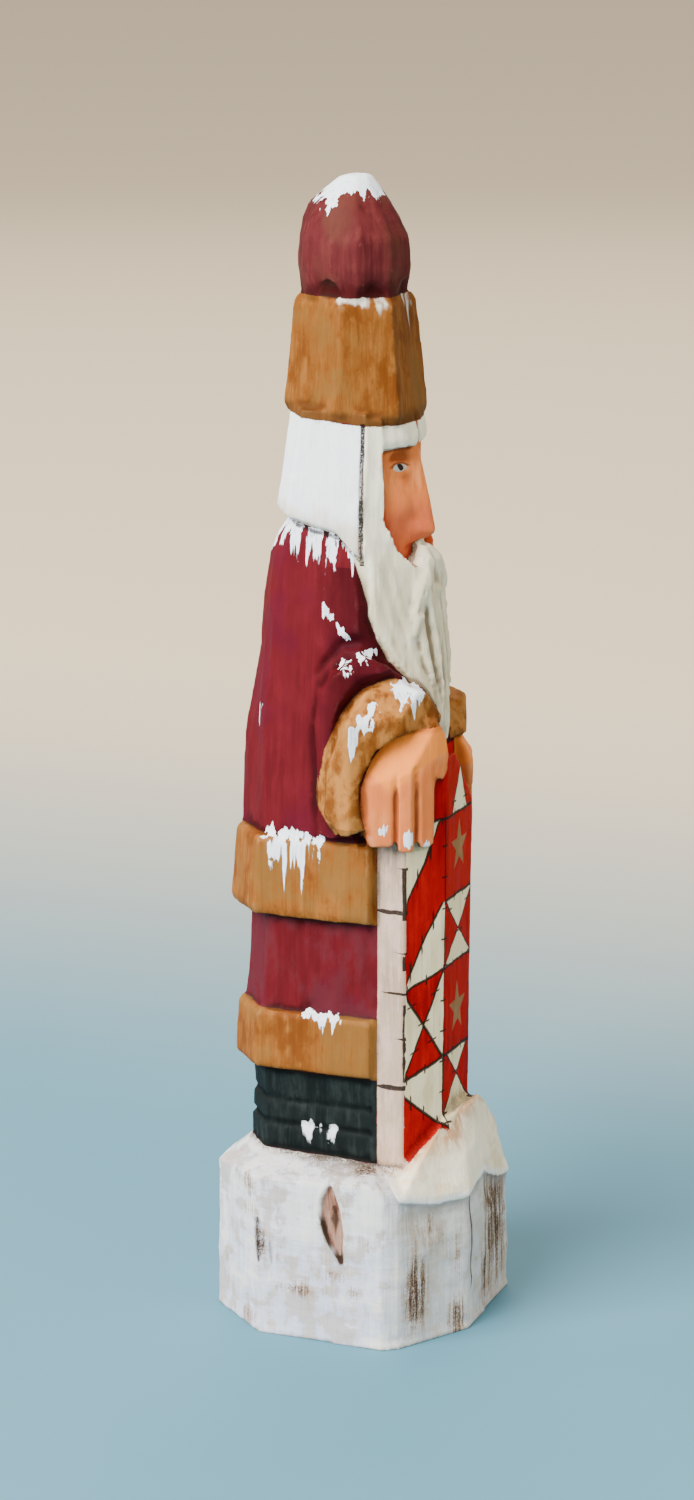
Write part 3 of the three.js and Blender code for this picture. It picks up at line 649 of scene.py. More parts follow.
@dataclass
class Carving:
    """The whole figure as one piece of carved wood, softened and cut over its solid."""

    share: float
    voxel: float = 0.62
    triangles: int = 192000
    seed: int = 11

    def build(self, node: bpy.types.Object) -> bpy.types.Object:
        """Copies the solid, softens its arrises, cuts the knife work in and lays out the paint.

        Args:
            node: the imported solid, which stays as it is.

        Returns:
            The finished piece.
        """
        piece = self._copy(node)
        self._remesh(piece)
        self._carve(piece, node)
        self._thin(piece)
        self._mark(piece)
        return piece

    def _copy(self, node: bpy.types.Object) -> bpy.types.Object:
        """A merged copy of the solid, with a mesh of its own."""
        bpy.ops.object.select_all(action="DESELECT")
        node.select_set(True)
        bpy.context.view_layer.objects.active = node
        bpy.ops.object.duplicate(linked=False)
        piece = bpy.context.view_layer.objects.active
        piece.name = "painted_carving"
        piece.data.name = "painted_carving"
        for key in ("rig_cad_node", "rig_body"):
            if key in piece:
                del piece[key]
        piece.data.materials.clear()
        bpy.ops.object.mode_set(mode="EDIT")
        bpy.ops.mesh.select_all(action="SELECT")
        bpy.ops.mesh.remove_doubles(threshold=self.share * 0.002)
        bpy.ops.mesh.normals_make_consistent(inside=False)
        bpy.ops.object.mode_set(mode="OBJECT")
        return piece

    def _apply(self, piece: bpy.types.Object, kind: str, **settings: object) -> None:
        """Adds one modifier with its settings and applies it."""
        modifier = piece.modifiers.new(kind.lower(), kind)
        for name, value in settings.items():
            setattr(modifier, name, value)
        bpy.context.view_layer.objects.active = piece
        bpy.ops.object.modifier_apply(modifier=modifier.name)

    def _remesh(self, piece: bpy.types.Object) -> None:
        """Gives the copy an even skin, and rounds its arrises as sanding and paint do."""
        self._apply(piece, "REMESH", mode="VOXEL", voxel_size=self.voxel * self.share)
        self._apply(piece, "SMOOTH", factor=0.5, iterations=3)

    def surface(self, piece: bpy.types.Object) -> Surface:
        """Reads the piece's points and the way they face.

        Args:
            piece: the carving.

        Returns:
            Its surface in shares, with heights over the top of the stump.
        """
        mesh = piece.data
        points = np.empty(len(mesh.vertices) * 3)
        mesh.vertices.foreach_get("co", points)
        normals = np.empty(len(mesh.vertices) * 3)
        mesh.vertices.foreach_get("normal", normals)
        points = points.reshape(-1, 3) / self.share - np.array([0.0, 0.0, BASE_TOP])
        return Surface(points, normals.reshape(-1, 3))

    def _carve(self, piece: bpy.types.Object, node: bpy.types.Object) -> None:
        """Cuts the knife work, the strands and the knot into the even skin; the cracks are left to the paint.
        """
        skin = self.surface(piece)
        skin.paint_areas()
        inner = {name: ramp(field, -0.6, 0.6) for name, field in skin.fields.items()}
        size = np.tile(np.array([7.0, 7.0, 24.0]), (len(skin.points), 1))
        depth = np.full(len(skin.points), 0.55)
        for name, cut, how_deep in (
            ("tan", (8.0, 8.0, 20.0), 0.34), ("hair", (4.0, 4.0, 30.0), 0.26),
            ("ivory", (3.4, 3.4, 15.0), 0.24), ("flesh", (5.0, 5.0, 8.0), 0.07),
            ("boots", (8.0, 8.0, 8.0), 0.25), ("quilt", (12.0, 12.0, 30.0), 0.12),
            ("snow", (12.0, 12.0, 15.0), 0.5),
        ):
            size[inner[name] > 0.5] = cut
            depth = depth + (how_deep - depth) * inner[name]
        crown = skin.z > BRIM_TOP
        size[crown] = (11.0, 11.0, 15.0)
        height = -depth * knife_scoops(skin.points, size, self.seed)
        height += 0.10 * unevenness(skin.points, (2.6, 2.6, 6.0), 5)
        height += 0.05 * unevenness(skin.points, (1.3, 1.3, 2.2), 6)
        strands = unevenness(
            np.stack([skin.x / (0.35 + 0.012 * np.clip(skin.z - 110, 0, 60)), skin.y * 0.6, skin.z], 1),
            (1.5, 3.0, 26.0), 8,
        )
        height += 0.20 * strands * inner["ivory"] * ramp(skin.y, -6.0, -14.0)
        height += 0.12 * unevenness(skin.points, (1.4, 1.4, 30.0), 9) * inner["hair"]
        for arm in ARMS:
            along, _, up = arm.frame(skin.points)
            for line, _ in arm.tips[:-1]:
                between = ramp(np.abs(along - line), 0.9, 0.2) * ramp(up, 106.0, 102.0)
                height -= 0.5 * between * np.clip(arm.hand(skin.points), 0.0, 1.0)
        knot = skin.knot()
        height += -1.25 * ramp(knot, -0.4, 0.9) + 0.4 * ramp(np.abs(knot + 0.8), 1.2, 0.0)
        lip = skin.over_lip()
        height -= 0.6 * ramp(lip, 0.2, -0.8) * ramp(lip, -11.0, -3.0) * inner["snow"]
        floor = ramp(skin.z, -BASE_TOP + 0.3, -BASE_TOP + 2.5)
        chips = np.clip(unevenness(skin.points, (4.0, 4.0, 4.0), 17) - 0.35, 0.0, 1.0)
        height -= 1.1 * chips * ramp(skin.z, -BASE_TOP + 5.0, -BASE_TOP + 1.0) * inner["snow"]
        height += 0.16 * unevenness(skin.points, (5.0, 5.0, 3.0), 19) * inner["snow"]
        moved = skin.points + skin.normals * ((height - 0.05) * floor)[:, None]
        moved = (moved + np.array([0.0, 0.0, BASE_TOP])) * self.share
        low, high = (np.array(corner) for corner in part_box(node.name))
        from_low, from_high = moved.min(axis=0), moved.max(axis=0)
        moved = low + (moved - from_low) * (high - low) / (from_high - from_low)
        piece.data.vertices.foreach_set("co", moved.ravel())
        piece.data.update()

    def _thin(self, piece: bpy.types.Object) -> None:
        """Takes faces out where the skin is flat, until the piece is light enough."""
        count = sum(len(face.vertices) - 2 for face in piece.data.polygons)
        if count > self.triangles:
            self._apply(piece, "DECIMATE", ratio=self.triangles / count)
        self._apply(piece, "TRIANGULATE")
        low, high = (np.array(corner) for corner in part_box(NODE))
        points = np.empty(len(piece.data.vertices) * 3)
        piece.data.vertices.foreach_get("co", points)
        piece.data.vertices.foreach_set("co", np.clip(points.reshape(-1, 3), low, high).ravel())
        piece.data.polygons.foreach_set("use_smooth", np.ones(len(piece.data.polygons), bool))
        piece.data.update()

    def _mark(self, piece: bpy.types.Object) -> None:
        """Writes the paint areas and the traces on the piece's points."""
        skin = self.surface(piece)
        skin.paint_areas()
        skin.dab_on()
        skin.wear()
        self._relief_traces(piece, skin)
        for name, values in {**skin.fields, **skin.traces}.items():
            attribute = piece.data.attributes.new(name, "FLOAT", "POINT")
            attribute.data.foreach_set("value", values.astype(np.float32))
        forward = skin.quilt_lean()
        wide = np.abs(skin.x)
        across = np.where(wide < QUILT_FLAT, wide, QUILT_FLAT + (wide - QUILT_FLAT) * QUILT_STRETCH)
        corner = QUILT_FLAT + QUILT_SLANT * QUILT_STRETCH
        side = (wide > 20.1) & (skin.y > -20.6 - forward)
        across = np.where(side, corner + np.maximum(skin.y + 19.7 + forward, 0.0), across)
        place = np.stack([across * np.sign(skin.x), skin.z, skin.y], axis=1)
        attribute = piece.data.attributes.new("patches", "FLOAT_VECTOR", "POINT")
        attribute.data.foreach_set("vector", place.astype(np.float32).ravel())

    def _relief_traces(self, piece: bpy.types.Object, skin: Surface) -> None:
        """Finds hollows, which get antique glaze and painted shade, and ridges, where paint wears thin."""
        mesh = piece.data
        ends = np.empty(len(mesh.edges) * 2, np.int32)
        mesh.edges.foreach_get("vertices", ends)
        first, second = ends.reshape(-1, 2).T
        count = len(skin.points)
        valence = np.bincount(first, minlength=count) + np.bincount(second, minlength=count)

        def relax(values: np.ndarray, rounds: int) -> np.ndarray:
            """Averages each point with its neighbours, over and over."""
            for _ in range(rounds):
                spread = np.stack([
                    np.bincount(first, values[second, i], count)
                    + np.bincount(second, values[first, i], count)
                    for i in range(values.shape[1])
                ], axis=1)
                values = 0.5 * values + 0.5 * spread / valence[:, None]
            return values

        near = relax(skin.points, 5)
        far = relax(near, 40)
        bend = ((near - skin.points) * skin.normals).sum(axis=1)
        lie = ((far - skin.points) * skin.normals).sum(axis=1)
        hollow = np.clip(bend / 0.16, 0.0, 1.0) * 0.6 + np.clip(lie / 0.9, 0.0, 1.0) * 0.8
        ridge = np.clip((-bend - 0.03) / 0.14, 0.0, 1.0)
        both = relax(np.stack([hollow, ridge], axis=1), 2)
        skin.traces[Trace.HOLLOW.value] = np.clip(both[:, 0], 0.0, 1.0)
        skin.traces[Trace.RIDGE.value] = np.clip(both[:, 1], 0.0, 1.0)


class Wire:
    """A value that runs between the nodes of one tree. Arithmetic on it adds the nodes."""

    def __init__(self, tree: bpy.types.NodeTree, socket: bpy.types.NodeSocket) -> None:
        """Takes hold of an output.

        Args:
            tree: the tree that the output is in.
            socket: the output.
        """
        self.tree = tree
        self.socket = socket

    def node(self, kind: str, *values: Optional[Number], **settings: object) -> bpy.types.Node:
        """Adds a node and feeds its inputs in order.

        Args:
            kind: the node's type.
            *values: wires or numbers for the inputs; None leaves one as it is.
            **settings: the node's own settings.

        Returns:
            The new node.
        """
        made = self.tree.nodes.new(kind)
        for name, value in settings.items():
            setattr(made, name, value)
        for socket, value in zip(made.inputs, values):
            feed(self.tree, socket, value)
        return made

    def math(self, operation: str, *values: Number, clamp: bool = False) -> "Wire":
        """Adds one Math node on this value and others."""
        made = self.node("ShaderNodeMath", self, *values, operation=operation, use_clamp=clamp)
        return Wire(self.tree, made.outputs[0])

    def __add__(self, other: Number) -> "Wire":
        """Adds."""
        return self.math("ADD", other)

    __radd__ = __add__

    def __sub__(self, other: Number) -> "Wire":
        """Takes away."""
        return self.math("SUBTRACT", other)

    def __rsub__(self, other: float) -> "Wire":
        """Takes this value away from a number."""
        return self.math("MULTIPLY_ADD", -1.0, other)

    def __mul__(self, other: Number) -> "Wire":
        """Multiplies."""
        return self.math("MULTIPLY", other)

    __rmul__ = __mul__

    def __abs__(self) -> "Wire":
        """The value without its sign."""
        return self.math("ABSOLUTE")

    def most(self, other: Number) -> "Wire":
        """The greater of the two."""
        return self.math("MAXIMUM", other)

    def between(self, low: float, high: float) -> "Wire":
        """1 from low to high and 0 elsewhere."""
        return self.math("GREATER_THAN", low) * self.math("LESS_THAN", high)

    def rise(self, low: Number, high: Number, top: float = 1.0) -> "Wire":
        """Rises smoothly from 0 at low to top at high.

        Args:
            low: where the rise starts.
            high: where it ends; below low it is a fall.
            top: the highest value.

        Returns:
            The risen value.
        """
        made = self.node(
            "ShaderNodeMapRange", self, low, high, 0.0, top, interpolation_type="SMOOTHSTEP"
        )
        return Wire(self.tree, made.outputs[0])

    def part(self, axis: int) -> "Wire":
        """One direction of a vector."""
        made = self.node("ShaderNodeSeparateXYZ", self)
        return Wire(self.tree, made.outputs[axis])


def feed(tree: bpy.types.NodeTree, socket: bpy.types.NodeSocket, value: object) -> None:
    """Feeds an input with a wire, a colour, a vector or a number.

    Args:
        tree: the tree that the input is in.
        socket: the input.
        value: what it gets; None leaves it alone.
    """
    if value is None:
        return
    if isinstance(value, Wire):
        tree.links.new(value.socket, socket)
    elif socket.type == "RGBA":
        socket.default_value = (*value, 1.0)
    else:
        socket.default_value = value


def blend(under: Union[Colour, Wire], over: Union[Colour, Wire], mask: Number, tree: bpy.types.NodeTree,
          kind: str = "MIX") -> Wire:
    """Lays one colour over another.

    Args:
        under: the colour below.
        over: the colour on top.
        mask: how much of the top colour shows.
        tree: the tree that gets the node.
        kind: how they mix.

    Returns:
        The mixed colour.
    """
    made = tree.nodes.new("ShaderNodeMix")
    made.data_type = "RGBA"
    made.blend_type = kind
    inputs = [socket for socket in made.inputs if socket.enabled]
    feed(tree, inputs[0], mask)
    feed(tree, inputs[1], under)
    feed(tree, inputs[2], over)
    return Wire(tree, next(socket for socket in made.outputs if socket.enabled))


class Group:
    """A node group with named inputs and outputs, built once and placed where it is needed."""

    KINDS = {"value": "NodeSocketFloat", "colour": "NodeSocketColor", "vector": "NodeSocketVector"}

    def __init__(self, name: str, inputs: dict[str, str], outputs: dict[str, str]) -> None:
        """Makes the group's sockets.

        Args:
            name: the group's name.
            inputs: each input's name and kind.
            outputs: each output's name and kind.
        """
        self.tree = bpy.data.node_groups.new(name, "ShaderNodeTree")
        for sockets, way in ((inputs, "INPUT"), (outputs, "OUTPUT")):
            for label, kind in sockets.items():
                self.tree.interface.new_socket(label, in_out=way, socket_type=self.KINDS[kind])
        self.source = self.tree.nodes.new("NodeGroupInput")
        self.sink = self.tree.nodes.new("NodeGroupOutput")

    def take(self, name: str) -> Wire:
        """A wire from one of the group's inputs."""
        return Wire(self.tree, self.source.outputs[name])

    def give(self, name: str, value: Wire) -> None:
        """Ends a wire in one of the group's outputs."""
        feed(self.tree, self.sink.inputs[name], value)

    def place(self, tree: bpy.types.NodeTree, **values: object) -> dict[str, Wire]:
        """Places the group in a tree.

        Args:
            tree: where it goes.
            **values: what its inputs get, by name.

        Returns:
            Its outputs by name.
        """
        made = tree.nodes.new("ShaderNodeGroup")
        made.node_tree = self.tree
        for name, value in values.items():
            feed(tree, made.inputs[name], value)
        return {socket.name: Wire(tree, socket) for socket in made.outputs}


def brush_marks() -> Group:
    """The uneven marks of brush, rag and grain, in one place for every paint.

    Returns:
        A group that takes a place in shares and gives noises from 0 to 1.
    """
    group = Group(
        "brush_marks",
        {"place": "vector"},
        dict.fromkeys(
            ("bristle", "streak", "grain", "drip", "mottle", "cloud", "smear", "speck"), "value"
        ),
    )
    place = group.take("place")
    for name, stretch, detail, rough in (
        ("bristle", (1.5, 1.5, 0.11), 2.0, 0.6),
        ("streak", (0.62, 0.62, 0.05), 3.0, 0.6),
        ("grain", (1.1, 1.1, 0.028), 3.0, 0.65),
        ("drip", (0.62, 0.62, 0.012), 1.0, 0.5),
        ("mottle", (0.24, 0.24, 0.16), 4.0, 0.6),
        ("cloud", (0.07, 0.07, 0.05), 2.0, 0.5),
        ("smear", (0.09, 0.09, 0.42), 4.0, 0.62),
        ("speck", (2.2, 2.2, 2.2), 2.0, 0.6),
    ):
        scaled = place.node("ShaderNodeVectorMath", place, stretch, operation="MULTIPLY")
        noise = place.node("ShaderNodeTexNoise")
        feed(group.tree, noise.inputs["Vector"], Wire(group.tree, scaled.outputs[0]))
        noise.inputs["Scale"].default_value = 1.0
        noise.inputs["Detail"].default_value = detail
        noise.inputs["Roughness"].default_value = rough
        group.give(name, Wire(group.tree, noise.outputs[0]))
    return group


def paint_coat() -> Group:
    """One coat of craft paint: streaked and mottled, with antique glaze and painted shade in hollows, and
    worn ridges.

    Returns:
        A group that takes the paint's colours and gives the colour that shows.
    """
    group = Group(
        "paint_coat",
        {
            "base": "colour", "deep": "colour", "light": "colour", "worn": "colour",
            "streak": "value", "mottle": "value", "cloud": "value", "speck": "value",
            "hollow": "value", "ridge": "value", "glaze": "value", "wear": "value",
            "streaky": "value",
        },
        {"colour": "colour"},
    )
    tree = group.tree
    streak, mottle = group.take("streak"), group.take("mottle")
    light = (mottle * 0.55 + streak * 0.45).rise(0.46, 0.66, 0.85)
    colour = blend(group.take("base"), group.take("light"), light, tree)
    dark = (streak * 0.5 + group.take("cloud") * 0.5).rise(0.5, 0.36) * group.take("streaky")
    colour = blend(colour, group.take("deep"), dark, tree)
    # Antique glaze and painted shade darken the paint in the hollows.
    hollow_glaze_and_shade = (group.take("hollow") + (mottle - 0.5) * 0.5).rise(0.12, 0.8) * group.take("glaze")
    colour = blend(colour, group.take("deep"), hollow_glaze_and_shade, tree)
    rubbed = (group.take("ridge") * (group.take("speck") * 0.8 + mottle * 0.6)).rise(0.3, 0.62)
    colour = blend(colour, group.take("worn"), rubbed * group.take("wear"), tree)
    group.give("colour", colour)
    return group


def stroke() -> Group:
    """A thin mark from one place to another, such as a crack.

    Returns:
        A group that takes the place, both ends, a width and a wobble, and gives the mark's mask.
    """
    group = Group(
        "stroke",
        {"place": "vector", "start": "vector", "end": "vector", "width": "value", "wobble": "value"},
        {"mask": "value"},
    )
    tree = group.tree
    start, end = group.take("start"), group.take("end")

    def vector(operation: str, *values: object, out: int = 0) -> Wire:
        """Adds one Vector Math node."""
        made = start.node("ShaderNodeVectorMath", *values, operation=operation)
        return Wire(tree, made.outputs[out])

    run = vector("SUBTRACT", end, start)
    off = vector("SUBTRACT", group.take("place"), start)
    share = vector("DOT_PRODUCT", off, run, out=1).math(
        "DIVIDE", vector("DOT_PRODUCT", run, run, out=1), clamp=True
    )
    scaled = start.node("ShaderNodeVectorMath", run, operation="SCALE")
    feed(tree, scaled.inputs["Scale"], share)
    gap = vector("LENGTH", vector("SUBTRACT", off, Wire(tree, scaled.outputs[0])), out=1)
    thin = (1.0 - abs(share * 2.0 - 1.0)).math("POWER", 0.5)
    group.give("mask", (gap + group.take("wobble")).rise(group.take("width") * thin, 0.0))
    return group


def patchwork() -> Group:
    """The quilt: squares of crossed triangles, long diagonals and stars, outlined and stitched.

    Returns:
        A group that takes the place across and up the quilt and gives masks for its cloths.
    """
    group = Group(
        "patchwork",
        {"across": "value", "up": "value", "wobble": "value"},
        {"cream": "value", "star": "value", "edge": "value", "seam": "value"},
    )
    a = group.take("across") + group.take("wobble")
    v = group.take("up") + group.take("wobble") * 1.3
    rows = (4.0, 28.2, 52.4, 72.4, 93.0)
    top, fold = rows[-1], 22.9
    front = a.math("LESS_THAN", QUILT_FLAT)
    edge = a.math("GREATER_THAN", fold)
    panel = (1.0 - front) * (1.0 - edge)
    slant = (panel * (a - QUILT_FLAT) * 0.32 - 2.2) * v.rise(68.0, 50.0)
    p = v + slant - v.rise(84.0, 90.0) * 1.4

    def row(index: int) -> Wire:
        """1 in one row of squares, counted from the bottom."""
        high = rows[index + 1] if index + 1 < len(rows) else 130.0
        return p.between(rows[index] if index else -50.0, high)

    def stitched(gap: Wire, along: Wire, pitch: float, thick: float = 0.36) -> Wire:
        """A drawn seam with short stitches across it.

        Args:
            gap: the distance from the seam.
            along: the place along it.
            pitch: how far apart the stitches are.
            thick: half the width of the line.

        Returns:
            The mask of line and stitches.
        """
        line = abs(gap).rise(thick + 0.12, thick - 0.12)
        tick = abs((along * (1.0 / pitch)).math("FRACT") - 0.5) * pitch
        return line.most(tick.rise(0.34, 0.16) * abs(gap + tick * 0.6).rise(1.5, 1.1))

    long_rise = p - top + (a - 11.0) * 1.737
    long_fall = 74.0 - p - (a - QUILT_FLAT) * 1.558
    cross = abs(a - 15.9) * 1.79 - abs(p - 40.2)
    corner = p - 24.7 + (fold - a) * 1.13
    tent = (1.0 - (p - top) * (1.0 / 12.4)) * 5.0 - a
    upper = abs(p - 62.4) - a * 1.12
    lower = abs(p - 21.0) - a * 1.05
    cream = (
        panel * row(3) * long_rise.math("GREATER_THAN", 0.0)
        + panel * row(2) * long_fall.math("GREATER_THAN", 0.0)
        + panel * row(1) * cross.math("GREATER_THAN", 0.0)
        + panel * row(0) * corner.math("GREATER_THAN", 0.0)
        + front * row(4) * tent.math("GREATER_THAN", 0.0)
        + front * row(2) * upper.math("GREATER_THAN", 0.0)
        + front * row(0) * lower.math("GREATER_THAN", 0.0)
    )
    seams = (
        panel * row(3) * stitched(long_rise * 0.5, a, 4.1)
        + panel * row(2) * stitched(long_fall * 0.54, a, 3.7)
        + panel * row(1) * stitched(cross * 0.49, p, 6.3)
        + panel * row(0) * stitched(corner * 0.66, a, 4.4)
        + front * row(4) * stitched(tent * 0.9, v, 13.0, 0.26)
        + front * row(2) * stitched(upper * 0.67, v, 7.3, 0.26)
        + front * row(0) * stitched(lower * 0.67, v, 9.6, 0.26)
    )
    inner = 1.0 - edge
    for level, thick, where in zip(rows[1:], (0.5, 0.42, 0.42, 0.42), (inner, inner, front, inner)):
        seams = seams.most(where * stitched(p - level, a, 6.1, thick))
    seams = seams.most(stitched(a - QUILT_FLAT, v, 8.3, 0.24) * v.math("LESS_THAN", top))
    tall = v.between(69.5, 83.5).most(v.between(26.0, 47.0)).most(v.between(56.0, 60.0))
    seams = seams.most(tall * abs(a - 23.3).rise(0.85, 0.55))
    for level, thick, reach in (
        (71.6, 0.62, 32.4), (24.4, 0.70, 32.6), (49.9, 0.34, 30.6),
        (60.8, 0.26, 26.6), (37.6, 0.5, 26.4), (83.3, 0.45, 25.8),
    ):
        taper = a.rise(reach, reach - 4.0) * thick
        mark = (taper - abs(v - level)).rise(-0.1, 0.12) * a.between(21.6, reach)
        seams = seams.most(mark)
    middle = v.math("GREATER_THAN", 61.0) * 43.8 + 41.2
    rise = (v - middle) * 0.8
    angle = a.math("ARCTAN2", rise)
    turn = 2.0 * math.pi / 5.0
    folded = abs((angle * (1.0 / turn) + 0.5).math("FRACT") - 0.5) * turn
    reach = (a * a + rise * rise).math("SQRT")
    tip, notch = 5.6, 2.2
    run = (notch * math.cos(turn / 2.0) - tip, notch * math.sin(turn / 2.0))
    length = math.hypot(*run)
    side = folded.math("COSINE") * reach - tip
    star = (side * (run[1] / length) - folded.math("SINE") * reach * (run[0] / length)) * -1.0
    star = star.rise(-0.15, 0.15) * front * (row(1) + row(3))
    group.give("cream", cream.math("MINIMUM", 1.0))
    group.give("star", star)
    group.give("edge", edge)
    group.give("seam", seams.math("MINIMUM", 1.0))
    return group


@dataclass(frozen=True)
class Coat:
    """The colours of one paint: its own, deep for the antique glaze and painted shade in hollows, light on
    brush marks, and worn.
    """

    base: Colour
    deep: Colour
    light: Colour
    worn: Colour
    # How strongly antique glaze and painted shade darken the hollows.
    glaze: float = 0.8
    wear: float = 0.5
    streaky: float = 0.4


@dataclass(frozen=True)
class PaintBox:
    """Every paint on the figure."""

    red: Coat = Coat(
        (0.109, 0.0084, 0.0118), (0.030, 0.0024, 0.0036), (0.126, 0.0100, 0.0140), (0.20, 0.043, 0.045),
        streaky=0.2,
    )
    crown: Coat = Coat(
        (0.098, 0.0150, 0.0160), (0.026, 0.0036, 0.0034), (0.130, 0.026, 0.022), (0.19, 0.060, 0.045),
    )
    tan: Coat = Coat(
        (0.246, 0.080, 0.0145), (0.095, 0.024, 0.004), (0.33, 0.124, 0.028), (0.46, 0.25, 0.10),
        wear=0.3, streaky=0.35,
    )
    hair: Coat = Coat(
        (0.97, 0.95, 0.92), (0.48, 0.38, 0.29), (0.97, 0.97, 0.96), (0.93, 0.89, 0.80),
        glaze=0.4, wear=0.4, streaky=0.2,
    )
    ivory: Coat = Coat(
        (0.71, 0.60, 0.39), (0.19, 0.120, 0.064), (0.88, 0.79, 0.60), (0.82, 0.68, 0.46),
        glaze=0.85, streaky=0.5,
    )
    flesh: Coat = Coat(
        (0.82, 0.210, 0.050), (0.20, 0.032, 0.007), (0.88, 0.29, 0.090), (0.84, 0.40, 0.19), streaky=0.2,
    )
    boots: Coat = Coat(
        (0.0085, 0.0115, 0.0108), (0.003, 0.004, 0.004), (0.020, 0.026, 0.024), (0.03, 0.04, 0.035),
        wear=0.03,
    )
    patch_red: Coat = Coat(
        (0.385, 0.0012, 0.0014), (0.140, 0.001, 0.001), (0.50, 0.0040, 0.0032), (0.40, 0.03, 0.015),
        glaze=0.5,
    )
    cream: Coat = Coat(
        (0.90, 0.72, 0.42), (0.44, 0.32, 0.17), (0.92, 0.78, 0.52), (0.80, 0.62, 0.40),
        glaze=0.5,
    )
    star: Coat = Coat(
        (0.26, 0.125, 0.048), (0.14, 0.055, 0.021), (0.33, 0.175, 0.080), (0.3, 0.2, 0.1),
        glaze=0.4,
    )
    edge: Coat = Coat(
        (0.53, 0.350, 0.240), (0.25, 0.16, 0.11), (0.72, 0.58, 0.46), (0.60, 0.33, 0.19),
        glaze=0.6,
    )
    snow: Coat = Coat(
        (0.58, 0.59, 0.66), (0.26, 0.20, 0.16), (0.76, 0.79, 0.87), (0.60, 0.48, 0.36),
        glaze=0.7, wear=0.7, streaky=0.1,
    )
    wood: Colour = (0.150, 0.074, 0.034)
    dark_wood: Colour = (0.036, 0.020, 0.012)
    line: Colour = (0.014, 0.008, 0.006)
    white: Colour = (0.90, 0.91, 0.93)
    blush: Colour = (0.52, 0.060, 0.034)
    cream_snow: Colour = (0.98, 0.86, 0.62)


